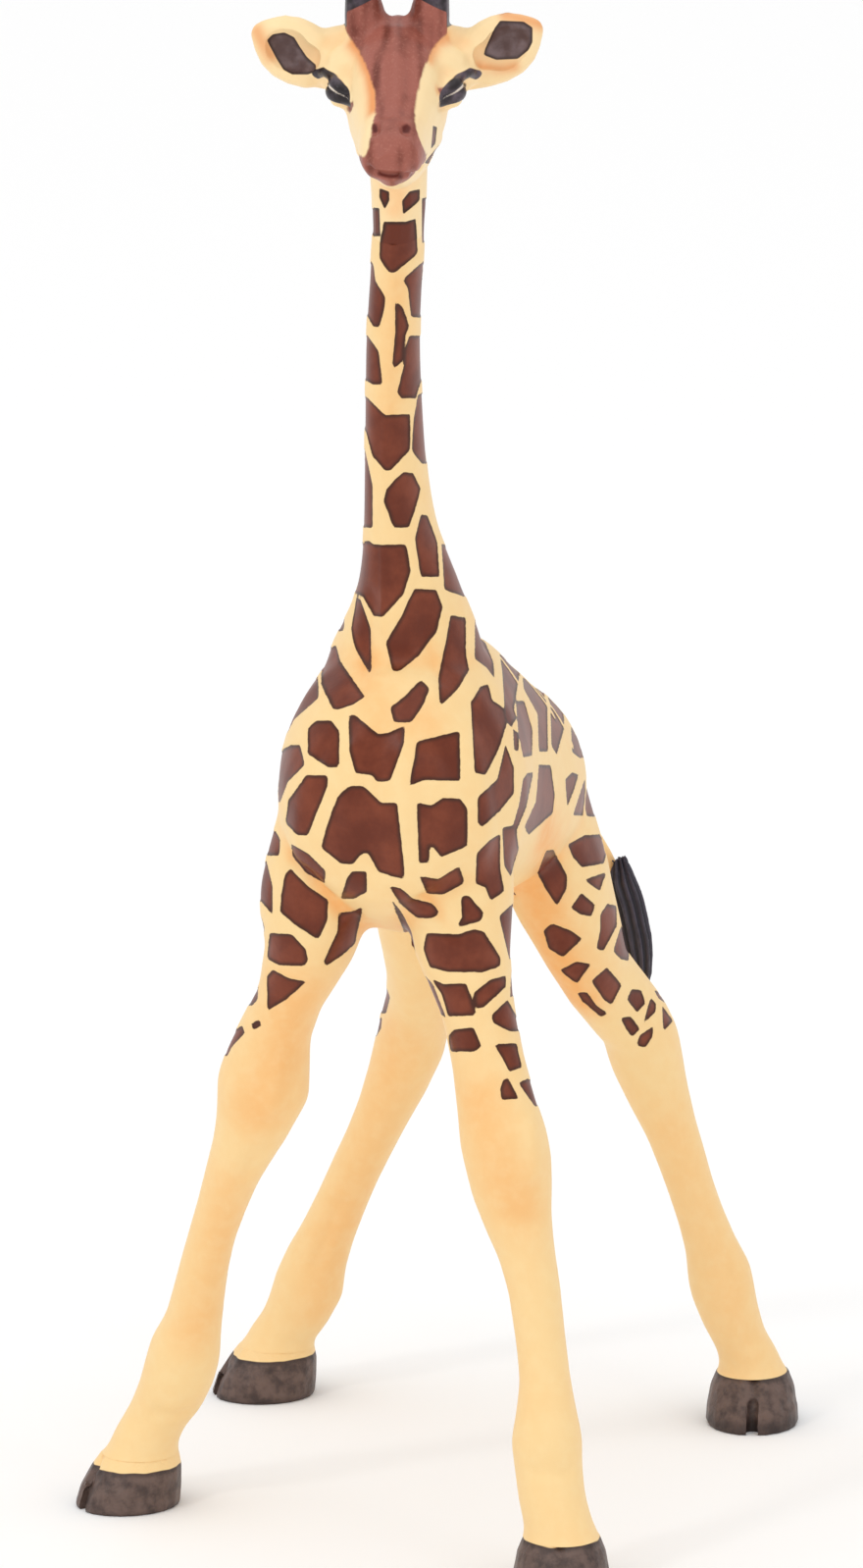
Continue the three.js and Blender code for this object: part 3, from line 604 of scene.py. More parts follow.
def to_skin(piece, grain, rounds, swell):
    """Turns a moulding's overlapping shells into one smooth skin, and gives the net of its edges."""
    if swell:
        fatter = piece.modifiers.new("swell", "DISPLACE")
        fatter.mid_level = 0
        fatter.strength = swell
    skin = piece.modifiers.new("skin", "REMESH")
    skin.mode = "VOXEL"
    skin.voxel_size = grain
    apply_all(piece)
    if swell:
        place(piece.data, places(piece.data) - swell * normals(piece.data))
    return relax(piece, rounds)


def sculpting_block(name, *nodes, grain, rounds=FINE_ROUNDS, swell=SWELL, **slice_of):
    """Some nodes' solids run together into one smooth skin, and the net of its edges."""
    piece = moulding(name, *nodes, **slice_of)
    return piece, to_skin(piece, grain, rounds, swell)


class Target:
    """A mesh as it stands, to find what the photograph shows on it."""

    def __init__(self, piece):
        self.points = places(piece.data)
        self.normals = normals(piece.data)
        self.tree = skin_tree(piece.data)

    def hit(self, x, y):
        """The point that a place in the photograph falls on, or None."""
        point = self.tree.ray_cast(CAMERA_AT, sight(x, y))[0]
        return None if point is None else np.array(point)

    def path(self, *pixels):
        """Places in the photograph, x and y in turn, as points on the mesh."""
        found = [self.hit(x, y) for x, y in zip(pixels[::2], pixels[1::2])]
        return [point for point in found if point is not None]

    def look(self):
        """Finds where each vertex shows in the photograph, and which ones it shows."""
        to_camera = np.array(TO_CAMERA)
        off = self.points - np.array(CAMERA_AT)
        scale = PIXELS_PER_MM * CAMERA_DISTANCE / -(off @ to_camera)
        self.pixels = np.stack([
            PHOTO_WIDTH / 2 + off @ np.array(CAMERA_RIGHT) * scale,
            PHOTO_HEIGHT / 2 - off @ np.array(CAMERA_UP) * scale,
        ], axis=1)
        facing = self.normals @ to_camera
        self.shown = np.zeros(len(self.points), bool)
        for i in np.flatnonzero(facing > 0.03):
            start = Vector(self.points[i] + 0.12 * self.normals[i] + 0.15 * to_camera)
            self.shown[i] = self.tree.ray_cast(start, (CAMERA_AT - start).normalized())[0] is None
        self.run_on(facing)

    def run_on(self, facing):
        """Counts as shown what turns away close behind the edge of the photograph's sight."""
        seen = forest(self.points[self.shown])
        for i in np.flatnonzero(~self.shown & (facing > -0.6) & (facing < 0.1)):
            reach = TURNED_REACH * (1 + noise.noise(Vector(self.points[i] * 0.3)))
            self.shown[i] = seen.find(self.points[i])[2] < reach

    def rim(self, corners):
        """Points on the mesh along an outline in the photograph, with None where it leaves the mesh."""
        rim = []
        for start, end in zip(corners, np.roll(corners, -1, axis=0)):
            steps = math.ceil(np.linalg.norm(end - start) / OUTLINE_STEP)
            rim += [self.hit(*(start + (end - start) * step / steps)) for step in range(steps)]
        return rim

    def patch(self, pixels):
        """How far inside a patch each vertex lies, from the patch's corners in the photograph."""
        corners = np.array(pixels, float).reshape(-1, 2)
        inside = np.full(len(self.points), -np.inf)
        rim = self.rim(corners)
        found = [point for point in rim if point is not None]
        if len(found) < 3:
            return inside
        # A corner past the calf's edge can fall on a part far behind, and is left out.
        centre = np.median(found, axis=0)
        broad = 2.5 * np.ptp(corners, axis=0).max() / PIXELS_PER_MM + 4
        rim = [p if p is not None and np.linalg.norm(p - centre) < broad else None for p in rim]
        found = [point for point in rim if point is not None]
        if len(found) < 3:
            return inside
        reach = max(np.linalg.norm(point - centre) for point in found) + TOLD_DEPTH
        near = np.flatnonzero(self.shown & (np.linalg.norm(self.points - centre, axis=1) < reach))
        nearest = np.full(len(near), TOLD_DEPTH)
        for start, end in zip(rim, rim[1:] + rim[:1]):
            if start is not None and end is not None and np.linalg.norm(start - end) < 3:
                nearest = np.minimum(nearest, nearness(self.points[near], (start, end)))
        inside[near] = np.where(encloses(corners, self.pixels[near]), nearest, -nearest)
        return inside


def widest(target, outlines):
    """How far inside any of some outlines each vertex lies."""
    return np.max([np.maximum(target.patch(pixels), UNPAINTED) for pixels in outlines], axis=0)


def sculpt(piece, strokes):
    """Raises or presses the skin along strokes traced in the photograph."""
    target = Target(piece)
    place(piece.data, target.points + along_strokes(target, strokes, np.add)[:, None] * target.normals)


# Seams: a skin is cut where the solids meet, and each part takes the place of its node.


def seam(carrier, guest):
    """The middle, direction and half width of the flat seam where one node carries another."""
    other = skin_tree(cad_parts[guest].data)
    touching = 1.5 * SEAM_GAP * MM
    rim = [v.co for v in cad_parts[carrier].data.vertices if other.find_nearest(v.co, touching)[0]]
    rim = np.array(rim) / MM
    middle = rim.mean(axis=0)
    direction = np.linalg.svd(rim - middle)[2][2]
    if direction @ (sum(box_mm(guest)) / 2 - middle) < 0:
        direction = -direction
    return middle, direction, np.linalg.norm(rim - middle, axis=1).max()


def cut_skin(skin, middle, direction, reach):
    """Cuts a skin open at one flat seam."""
    middle, direction = Vector(middle), Vector(direction)
    near = []
    for face in skin.faces:
        off = face.calc_center_median() - middle
        if off.length < reach * 1.25 + 1 and abs(off.dot(direction)) < 1:
            near.append(face)
    edges = dict.fromkeys(edge for face in near for edge in face.edges)
    corners = dict.fromkeys(corner for face in near for corner in face.verts)
    cut = bmesh.ops.bisect_plane(
        skin, geom=[*near, *edges, *corners], dist=1e-4, plane_co=middle, plane_no=direction)
    edges = [edge for edge in cut["geom_cut"] if isinstance(edge, bmesh.types.BMEdge)]
    bmesh.ops.split_edges(skin, edges=edges)


def part_at_seams(piece, seams):
    """Cuts a skin at flat seams and returns the closed parts."""
    skin = bmesh.new()
    skin.from_mesh(piece.data)
    for middle, direction, reach in seams:
        cut_skin(skin, middle, direction, reach)
    skin.to_mesh(piece.data)
    skin.free()
    only(piece)
    bpy.ops.object.mode_set(mode="EDIT")
    bpy.ops.mesh.separate(type="LOOSE")
    bpy.ops.object.mode_set(mode="OBJECT")
    parts = list(bpy.context.selected_objects)
    for part in parts:
        only(part)
        bpy.ops.object.mode_set(mode="EDIT")
        bpy.ops.mesh.select_all(action="SELECT")
        bpy.ops.mesh.fill_holes(sides=0)
        bpy.ops.object.mode_set(mode="OBJECT")
    return parts


def misfit(part, node):
    """How far a part's corners are from a node's."""
    points = places(part.data)
    low, high = box_mm(node)
    return np.abs(points.min(axis=0) - low).max() + np.abs(points.max(axis=0) - high).max()


def claim(parts, wanted):
    """Gives the part that fits each wanted node, and clears the rest away."""
    found = {}
    for node in wanted:
        left = [part for part in parts if part not in found.values()]
        found[node] = min(left, key=lambda part: misfit(part, node))
    for part in parts:
        if part not in found.values():
            bpy.data.objects.remove(part)
    return found


def finish_piece(piece, node, material):
    """Brings a finished moulding to metres, in its own material, in place of its node."""
    piece.name = piece.data.name = f"{node}_skin"
    piece.data.transform(Matrix.Scale(MM, 4))
    piece.data.materials.clear()
    piece.data.materials.append(material)
    only(piece)
    bpy.ops.object.shade_smooth_by_angle(angle=SHARP_EDGE)
    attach(piece, "root")
    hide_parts(node)


# Finishes.


class Sheet:
    """A material or a node group being drawn up."""

    def __init__(self, tree):
        self.tree = tree
        tree.nodes.clear()

    def node(self, kind, **settings):
        node = self.tree.nodes.new(kind)
        for name, value in settings.items():
            setattr(node, name, value)
        return node

    def feed(self, socket, value):
        if isinstance(value, bpy.types.NodeSocket):
            self.tree.links.new(value, socket)
        else:
            socket.default_value = value

    def maths(self, operation, *values, clamp=False):
        node = self.node("ShaderNodeMath", operation=operation, use_clamp=clamp)
        for socket, value in zip(node.inputs, values):
            self.feed(socket, value)
        return node.outputs[0]

    def rise(self, value, low, high):
        """0 below low, 1 above high, and smooth between."""
        node = self.node("ShaderNodeMapRange", interpolation_type="SMOOTHSTEP")
        for name, given in (("Value", value), ("From Min", low), ("From Max", high)):
            self.feed(node.inputs[name], given)
        return node.outputs[0]

    def fall(self, value, low, high):
        """1 below low, 0 above high, and smooth between."""
        return self.maths("SUBTRACT", 1.0, self.rise(value, low, high))

    def painted(self, value):
        """A brush's crisp edge where a kept depth passes 0."""
        return self.rise(value, -0.04, 0.04)

    def mix(self, share, one, other):
        node = self.node("ShaderNodeMix", data_type="RGBA")
        self.feed(node.inputs[0], share)
        self.feed(node.inputs[6], one)
        self.feed(node.inputs[7], other)
        return node.outputs[2]

    def noise(self, per_mm, detail=3, roughness=0.5):
        node = self.node("ShaderNodeTexNoise")
        self.feed(node.inputs["Vector"], self.node("ShaderNodeTexCoord").outputs["Object"])
        self.feed(node.inputs["Scale"], per_mm / MM)
        self.feed(node.inputs["Detail"], detail)
        self.feed(node.inputs["Roughness"], roughness)
        return node.outputs["Fac"]

    def kept(self, name):
        return self.node("ShaderNodeAttribute", attribute_name=name).outputs["Fac"]

    def use(self, tree):
        return self.node("ShaderNodeGroup", node_tree=tree).outputs

    def bump(self, height, shader, distance_mm):
        node = self.node("ShaderNodeBump")
        self.feed(node.inputs["Height"], height)
        node.inputs["Distance"].default_value = distance_mm * MM
        node.inputs["Strength"].default_value = 1
        self.feed(shader["Normal"], node.outputs[0])


def group(name, inputs, outputs):
    """A new node group, with what it is given and what it gives out."""
    tree = bpy.data.node_groups.new(name, "ShaderNodeTree")
    for socket, value in inputs.items():
        made = tree.interface.new_socket(socket, in_out="INPUT", socket_type="NodeSocketFloat")
        made.default_value = value
    for socket, kind in outputs.items():
        tree.interface.new_socket(socket, in_out="OUTPUT", socket_type=f"NodeSocket{kind}")
    sheet = Sheet(tree)
    return sheet, sheet.node("NodeGroupInput").outputs, sheet.node("NodeGroupOutput").inputs


def shaded_and_warmed_cream():
    """Cream vinyl, warmed towards peach as painted shade in the hollows, along the warmer strokes, and in
    soft clouds.
    """
    sheet, given, out = group("shaded and warmed cream", {"Shade": 1.0}, {"Color": "Color"})
    clouds = sheet.rise(sheet.noise(0.16, 2), 0.35, 0.75)
    # Peach goes where the skin lies hollow, as painted shade, and along the warmer strokes.
    warm = sheet.maths("MULTIPLY_ADD", clouds, 0.14, sheet.kept("shade_and_warmth"))
    warm = sheet.maths("MULTIPLY", warm, given["Shade"], clamp=True)
    fleck = sheet.rise(sheet.noise(0.9, 4), 0.35, 0.75)
    colour = sheet.mix(warm, CREAM, PEACH)
    sheet.feed(out["Color"], sheet.mix(sheet.maths("MULTIPLY", fleck, 0.18), colour, CREAM_FLECK))
    return sheet.tree


def brushed_patches():
    """A mask of the painted patches, and how near their rims a place is."""
    sheet, given, out = group("brushed patches", {"Wobble": 0.12}, {"Mask": "Float", "Rim": "Float"})
    wobble = sheet.maths("SUBTRACT", sheet.noise(1.6, 3), 0.5)
    depth = sheet.maths("MULTIPLY_ADD", wobble, given["Wobble"], sheet.kept("patch"))
    sheet.feed(out["Mask"], sheet.rise(depth, -0.035, 0.035))
    sheet.feed(out["Rim"], sheet.fall(depth, 0.05, 0.4))
    return sheet.tree


def vinyl(name):
    """A new material with a shader that looks like moulded vinyl."""
    material = bpy.data.materials.new(name)
    material.use_nodes = True
    sheet = Sheet(material.node_tree)
    shader = sheet.node("ShaderNodeBsdfPrincipled")
    shader.inputs["Specular IOR Level"].default_value = 0.3
    sheet.feed(sheet.node("ShaderNodeOutputMaterial").inputs["Surface"], shader.outputs[0])
    return material, sheet, shader.inputs


def patched_vinyl(cream_group, patch_group):
    """The coat: cream, with brushed patches in streaky red brown."""
    material, sheet, shader = vinyl("patched_vinyl")
    patches = sheet.use(patch_group)
    streaks = sheet.rise(sheet.noise(0.3, 4, 0.6), 0.32, 0.72)
    red = sheet.mix(sheet.maths("MULTIPLY", streaks, 0.75), PATCH_RED, PATCH_PALE)
    red = sheet.mix(sheet.maths("MULTIPLY", patches["Rim"], 0.8), red, PATCH_RIM)
    sheet.feed(shader["Base Color"], sheet.mix(patches["Mask"], sheet.use(cream_group)["Color"], red))
    sheet.feed(shader["Roughness"], sheet.maths("MULTIPLY_ADD", patches["Mask"], -0.1, 0.46))
    sheet.bump(sheet.maths("MULTIPLY_ADD", sheet.noise(3.0), 0.3, patches["Mask"]), shader, 0.03)
    return material


def cream_vinyl(cream_group):
    """The tail's plain cream."""
    material, sheet, shader = vinyl("cream_vinyl")
    sheet.feed(shader["Base Color"], sheet.use(cream_group)["Color"])
    shader["Roughness"].default_value = 0.44
    sheet.bump(sheet.noise(3.0), shader, 0.01)
    return material


def hoof_vinyl(cream_group):
    """Grey hoof, scuffed and darker towards the ground, with the coat's cream above its painted edge."""
    material, sheet, shader = vinyl("hoof_vinyl")
    scuffs = sheet.rise(sheet.noise(0.9, 5, 0.6), 0.35, 0.7)
    depth = sheet.kept("hoof")
    dark = sheet.maths("MAXIMUM", sheet.fall(depth, 0.05, 0.45), sheet.rise(depth, 2.7, 3.6))
    grey = sheet.mix(scuffs, HOOF_GREY, HOOF_SCUFF)
    grey = sheet.mix(sheet.maths("MULTIPLY", dark, 0.6), grey, HOOF_DARK)
    cream = sheet.use(cream_group)["Color"]
    sheet.feed(shader["Base Color"], sheet.mix(sheet.painted(depth), cream, grey))
    shader["Roughness"].default_value = 0.4
    sheet.bump(sheet.noise(1.6, 5, 0.6), shader, 0.09)
    return material


def hair_vinyl(name, colour, groove, roughness):
    """Moulded hair, darker between its strands as painted shade, and darker in soft random clouds."""
    material, sheet, shader = vinyl(name)
    cloud = sheet.rise(sheet.noise(0.8, 4), 0.3, 0.7)
    deep = sheet.fall(sheet.kept("strand"), -1.0, 0.9)
    deep = sheet.maths("MAXIMUM", deep, sheet.maths("MULTIPLY", cloud, 0.5))
    sheet.feed(shader["Base Color"], sheet.mix(deep, colour, groove))
    shader["Roughness"].default_value = roughness
    sheet.bump(sheet.noise(2.0, 4), shader, 0.04)
    return material


def blaze_brown(sheet):
    """The brown of the face, in dry strokes with pale flecks, and paler along a painted highlight down the
    nose.
    """
    strokes = sheet.maths("MULTIPLY_ADD", sheet.noise(0.9, 4), 0.6, sheet.kept("brushed"))
    brown = sheet.mix(sheet.rise(strokes, 0.2, 0.95), BLAZE_DARK, BLAZE_PALE)
    flecks = sheet.maths("MULTIPLY", sheet.rise(sheet.noise(5, 2), 0.5, 0.75), 0.3)
    return sheet.mix(flecks, brown, BLAZE_FLECK)


def ear_brown(sheet, sheen):
    """The ears' hollows, with a painted sheen, darker at their rims."""
    hollow = sheet.mix(sheen, EAR_DEEP, EAR_SHEEN)
    return sheet.mix(sheet.fall(sheet.kept("ear"), 0.0, 0.35), hollow, EAR_RIM)


def painted_face(cream_group, patch_group):
    """The head's paint: a brown blaze, marks on the jaw, black lids and ear hollows."""
    material, sheet, shader = vinyl("painted_face")
    cream = sheet.mix(0.35, sheet.use(cream_group)["Color"], FACE_CREAM)
    colour = sheet.mix(sheet.maths("MULTIPLY", sheet.kept("blush"), 0.85), cream, FACE_ORANGE)
    wobble = sheet.maths("MULTIPLY", sheet.maths("SUBTRACT", sheet.noise(1.2), 0.5), 0.35)
    blaze = sheet.rise(sheet.maths("ADD", sheet.kept("blaze"), wobble), -0.12, 0.14)
    colour = sheet.mix(blaze, colour, blaze_brown(sheet))
    marks = sheet.use(patch_group)
    colour = sheet.mix(marks["Mask"], colour, sheet.mix(marks["Rim"], PATCH_RED, PATCH_RIM))
    colour = sheet.mix(sheet.rise(sheet.kept("nostril"), -0.15, 0.1), colour, NOSTRIL_RED)
    # A painted sheen: soft lighter clouds on the black lids and in the ears' hollows.
    sheen = sheet.rise(sheet.noise(0.7), 0.4, 0.75)
    dark = sheet.painted(sheet.kept("dark"))
    colour = sheet.mix(dark, colour, sheet.mix(sheen, LID_BLACK, LID_SHEEN))
    colour = sheet.mix(sheet.painted(sheet.kept("ear")), colour, ear_brown(sheet, sheen))
    colour = sheet.mix(sheet.painted(sheet.kept("glint")), colour, LID_GLINT)
    sheet.feed(shader["Base Color"], colour)
    sheet.feed(shader["Roughness"], sheet.maths("MULTIPLY_ADD", dark, -0.14, 0.42))
    grain = sheet.maths("MULTIPLY_ADD", sheet.noise(3.0), 0.4, sheet.maths("ADD", dark, blaze))
    sheet.bump(grain, shader, 0.02)
    return material


# The coat's patches.


def patched_zone(points, facing):
    """Where the unseen coat is patched, and how broad the patches are."""
    x, y, z = points.T
    neck_low, neck_high = box_mm("neck")
    belly = box_mm("front_left_leg")[1][2]
    middle = sum(box_mm("trunk"))[0] / 2
    underside = (z < belly + 5) & (facing[:, 2] < -BELLY_SIDE)
    zone = (z < neck_high[2] + 3.5) & ~underside
    breadth = np.where(z > neck_low[2] + 1, NECK_PATCH_WIDTH, TRUNK_PATCH_WIDTH)
    for leg in LEGS:
        low, high = box_mm(f"{leg}_leg")
        side = 1 if "left" in leg else -1
        on_leg = ((points > low - 0.25) & (points < high + 0.25))[:, :2].all(axis=1)
        on_leg &= (z < belly) & (side * (x - middle) > 0)
        inner = side * facing[:, 0] < -0.25
        zone &= ~(on_leg & ((z < LOWEST_PATCH[leg]) | inner))
        grown = 0.6 * smooth_step(LOWEST_PATCH[leg] - 2, belly + 4, z)
        leg_breadth = LEG_PATCH_WIDTH + grown * (TRUNK_PATCH_WIDTH - LEG_PATCH_WIDTH)
        breadth = np.where(on_leg, leg_breadth, breadth)
    return zone, breadth


def scatter_seeds(points, free_coat, breadth):
    """Picks places on the free coat by chance, each about a patch's breadth from the others."""
    chance = np.random.default_rng(11).random(len(points))
    crowd = np.full(len(points), np.inf)
    seeds = []
    while True:
        free = np.flatnonzero(free_coat & (crowd > breadth * CROWDING))
        if not len(free):
            return seeds
        seed = free[np.argmin(chance[free])]
        seeds.append(points[seed])
        crowd = np.minimum(crowd, np.linalg.norm(points - points[seed], axis=1))


def settle_seeds(seeds, spots):
    """Moves seeds to the middles of their cells, and gives each spot's cell and depth inside it."""
    for _ in range(4):
        stands = np.array(seeds)
        tree = forest(stands)
        nearest = [tree.find_n(spot, 2) for spot in spots]
        owner = np.array([first[1] for first, second in nearest])
        for k in np.unique(owner):
            seeds[k] = spots[owner == k].mean(axis=0)
    rival = np.array([second[1] for first, second in nearest])
    near, far = np.array([[first[2], second[2]] for first, second in nearest]).T
    apart = np.maximum(np.linalg.norm(stands[owner] - stands[rival], axis=1), 0.1)
    return owner, (far ** 2 - near ** 2) / (2 * apart)


def unseen_patches(target, net, typed):
    """How far inside a patch each vertex lies, for the coat that the photograph doesn't show."""
    points = target.points
    zone, breadth = patched_zone(points, target.normals)
    breadth = net.even(breadth, 60)
    free_coat = zone & ~target.shown
    there = np.flatnonzero(free_coat)
    painted = forest(points[typed > 0])
    clear = np.full(len(points), 9.0)
    clear[there] = [painted.find(point)[2] for point in points[there]]
    seeds = scatter_seeds(points, free_coat, breadth)
    noise.seed_set(WOBBLE_SEED)
    wobble = np.array([noise.noise_vector(Vector(point) * 0.55) for point in points[there]])
    owner, depth = settle_seeds(seeds, points[there] + 0.45 * wobble)
    line = COAT_LINE * np.clip(breadth[there] / TRUNK_PATCH_WIDTH + 0.3, 0.75, 1)
    inside = np.full(len(points), -1.0)
    inside[there] = depth - line / 2
    for k in np.unique(owner):
        mine = there[owner == k]
        if inside[mine].max() < LEAST_PATCH:
            inside[mine] = -1.0
    return np.minimum(inside, clear - COAT_LINE * 0.8)


def part_flank(target, depths):
    """Parts the long patches that the left flank's slant hides from the photograph."""
    middle = sum(box_mm("trunk"))[0] / 2
    flank = target.points[:, 0] > middle + 3
    for line in FLANK_LINES:
        gap = nearness(target.points[:, 1:], np.reshape(line, (-1, 2))) - COAT_LINE / 2
        depths = np.where(flank, np.minimum(depths, gap), depths)
    return depths


def coat(piece, net, unseen):
    """Works out where each vertex of a skin is patched and where it is warmed with painted shade, and lays
    the patches hollow.
    """
    target = Target(piece)
    target.look()
    typed = np.full(len(target.points), UNPAINTED)
    for pixels in COAT_PATCHES:
        typed = np.maximum(typed, target.patch(pixels) + PATCH_MARGIN)
    typed = part_flank(target, typed)
    patches = net.even(np.maximum(typed, unseen(target, net, typed)), 1)
    patches = net.even_beside(target.shown, patches, 4)
    keep(piece.data, "patch", patches)
    # Hollows are painted peach as shade: how far each vertex lies below a much smoothed copy of the skin.
    broad = net.even(target.points, 160)
    hollow = ((broad - target.points) * target.normals).sum(axis=1)
    shade_and_warmth = np.maximum(hollow * 2.2, 0) + along_strokes(target, COAT_WARMTH_AND_SHADE, np.maximum)
    keep(piece.data, "shade_and_warmth", np.clip(shade_and_warmth, 0, 1))
    pressed = PATCH_HOLLOW * smooth_step(-0.1, 0.1, patches)
    place(piece.data, target.points - pressed[:, None] * target.normals)
    return target.points, patches


def build_body(material):
    """The trunk, the neck and the legs. Gives their points and patches, for the head to go on from."""
    legs = [f"{leg}_leg" for leg in LEGS]
    hooves = [f"{leg}_hoof" for leg in LEGS]
    body, net = sculpting_block(
        "body", "trunk", "neck", "head", *legs, *hooves, grain=BODY_GRAIN, rounds=BODY_ROUNDS)
    sculpt(body, BODY_STROKES)
    points, patches = coat(body, net, unseen_patches)
    seams = [seam("trunk", "neck"), seam("neck", "head")]
    seams += [seam("trunk", leg) for leg in legs]
    seams += [seam(hoof, leg) for hoof, leg in zip(hooves, legs)]
    for node, piece in claim(part_at_seams(body, seams), ["trunk", "neck", *legs]).items():
        finish_piece(piece, node, material)
    return points, patches


# The head, its eyes, ears and horns.


def head_place(forward, left, up):
    return HEAD_MIDDLE + HEAD_FORWARD * forward + HEAD_LEFT * left + Vector((0, 0, up))


def head_spots(points):
    """How far forward, left and up from the brow's middle points lie."""
    off = points - np.array(HEAD_MIDDLE)
    return off @ np.array(HEAD_FORWARD), off @ np.array(HEAD_LEFT), off[:, 2]


def head_axis(side, direction):
    """A direction on the head, as it is on its left or mirrored to its right."""
    forward, left, up = direction
    return (HEAD_FORWARD * forward + HEAD_LEFT * (side * left) + Vector((0, 0, up))).normalized()


def lay_clay(piece, stretches):
    """Adds lumps of clay to a moulding along stretches on both its sides."""
    only(piece)
    lumps = []
    for stretch, side in itertools.product(stretches, (-1, 1)):
        for start, end in zip(stretch, stretch[1:]):
            start, end = np.array(start), np.array(end)
            steps = math.ceil(np.linalg.norm((end - start)[:3]) / (0.35 * min(start[3], end[3])))
            for share in np.linspace(0, 1, steps + 1):
                forward, left, up, radius = start + share * (end - start)
                at = head_place(forward, side * left, up)
                bpy.ops.mesh.primitive_ico_sphere_add(subdivisions=2, radius=radius, location=at)
                lumps.append(bpy.context.object)
    for lump in lumps:
        lump.select_set(True)
    piece.select_set(True)
    bpy.context.view_layer.objects.active = piece
    bpy.ops.object.join()


def raise_chin(piece):
    """Lifts and narrows the underside of the muzzle, which is slighter than the solid."""
    points = places(piece.data)
    forward, left, up = head_spots(points)
    low = np.clip(-2.4 - up, 0, None)
    points[:, 2] += 0.3 * low * smooth_step(2, 8, forward)
    narrowed = 0.3 * left * smooth_step(-4.1, -4.8, up) * smooth_step(4, 8, forward)
    points -= narrowed[:, None] * np.array(HEAD_LEFT)
    place(piece.data, points)


def eye_spots(points, side):
    """Where points lie on an eye, along it and up it, and how far out from it."""
    facing = head_axis(side, EYE_OUTWARD)
    length = head_axis(side, EYE_ALONG)
    length = (length - facing * length.dot(facing)).normalized()
    upward = facing.cross(length) * -side
    off = points - np.array(head_place(EYE_MIDDLE[0], side * EYE_MIDDLE[1], EYE_MIDDLE[2]))
    return np.stack([off @ np.array(length), off @ np.array(upward)], axis=1), off @ np.array(facing)


def set_eyes(piece):
    """Raises the lids round each eye, and says where its paint goes."""
    points, facing = places(piece.data), normals(piece.data)
    dark, glint = np.full(len(points), UNPAINTED), np.full(len(points), UNPAINTED)
    x, y, long, tall = EYEBALL
    for side in (-1, 1):
        spots, out = eye_spots(points, side)
        here = (np.abs(out) < 2.2) & (facing @ np.array(head_axis(side, EYE_OUTWARD)) > 0.05)
        lash = nearness(spots, LASH_LINE)
        ball = (1 - np.hypot((spots[:, 0] - x) / long, (spots[:, 1] - y) / tall)) * tall
        lift = 0.2 * np.exp(-((lash - 0.05) / 0.3) ** 2) + 0.08 * smooth_step(-0.1, 0.5, ball)
        lift -= 0.14 * np.exp(-((ball + 0.05) / 0.14) ** 2)
        points = points + np.where(here, lift, 0)[:, None] * facing
        dark = np.where(here, np.maximum(dark, np.maximum(ball, LASH_WIDTH - lash)), dark)
        # The pale rim, a painted highlight, shows between the lash and the ball, short of the ball's ends.
        rim = np.minimum(0.16 - np.abs(ball + 0.13), lash - LASH_WIDTH + 0.02)
        rim = np.minimum(rim, long - 0.4 - np.abs(spots[:, 0] - x))
        glint = np.where(here & (spots[:, 1] > y + 0.15), np.maximum(glint, rim), glint)
    place(piece.data, points)
    return dark, glint


def horn_paint(forward, left, up):
    """The horns' dark sides and tips."""
    front, out = forward - HORN_ROOT[0], np.abs(left) - HORN_ROOT[1]
    sides = np.minimum(0.8 * out - 0.6 * front - 0.55, (up - 5.6) * 0.8)
    tips = up - 7.4 + 0.5 * out
    return np.where(np.hypot(front, out) < 2.1, np.maximum(sides, tips), UNPAINTED)


def muzzle_paint(shown, forward, left, up):
    """The brown of the nose and lips, and of the cheeks that the photograph doesn't show."""
    nose = np.minimum(forward - 8.9, -2.2 - up)
    lips = np.where(np.abs(left) > 1.4, np.minimum(forward - 6.6, -2.6 - up), UNPAINTED)
    cheeks = 0.78 * (forward - 0.8 * up - 9.3)
    return np.maximum(nose, np.where(shown, lips, cheeks))


def crest_paint(shown, forward, left, up):
    """The brown crest between the horns and down to the mane."""
    crest = 0.95 + 2 * smooth_step(2.5, 5.5, up) - np.abs(left + 0.05 * np.clip(up, -12, 0))
    on_top = (up > 3.5) & (forward < 1)
    behind = forward < np.where(up > 0, 3.5, -3)
    crest = np.where(np.where(shown, on_top, behind) & (up > -14), crest, UNPAINTED)
    return np.maximum(crest, np.minimum(up - 6.4, 1))


def face_brown(target, net):
    """How far inside the face's brown each vertex lies."""
    forward, left, up = head_spots(target.points)
    traced = widest(target, [BLAZE, CHIN, *EYE_CORNERS])
    jaw = np.minimum(1.5 * (forward - 5.2), 9) + 9 * smooth_step(-3.4, -2.4, up)
    muzzle = muzzle_paint(target.shown, forward, left, up)
    crest = crest_paint(target.shown, forward, left, up)
    brown = np.max([np.minimum(traced, jaw), muzzle, crest], axis=0)
    brown = net.even_beside(target.shown, brown, 8)
    return np.where((forward > 4.5) & (up < -2), net.even(brown, 12), brown)


def paint_face(piece, net, dark, glint):
    """Stores where each of the head's paints goes."""
    target = Target(piece)
    target.look()
    mouth, nose = (nearness(target.points, target.path(*line)) for line in (MOUTH_LINE, NOSE_PAINTED_HIGHLIGHT))
    marks = {
        "blaze": face_brown(target, net),
        "dark": np.maximum(dark, horn_paint(*head_spots(target.points))),
        "ear": widest(target, EAR_HOLLOWS),
        "nostril": np.maximum(widest(target, NOSTRILS), 0.11 - mouth),
        "glint": glint,
    }
    for name, depth in marks.items():
        keep(piece.data, name, net.even(depth, 1))
    keep(piece.data, "blush", along_strokes(target, HEAD_BLUSH, np.maximum))
    # The brush's strokes run forward down the face, so they vary most from side to side.
    axes = np.array([HEAD_LEFT * 1.5, HEAD_FORWARD * 0.2, (0, 0, 0.2)])
    strokes = 0.6 * roughly((target.points - np.array(HEAD_MIDDLE)) @ axes.T, 1)
    # A painted highlight runs down the nose's middle, where the brown turns paler.
    keep(piece.data, "brushed", 0.42 + strokes + 0.3 * np.exp(-((nose / 0.6) ** 2)))


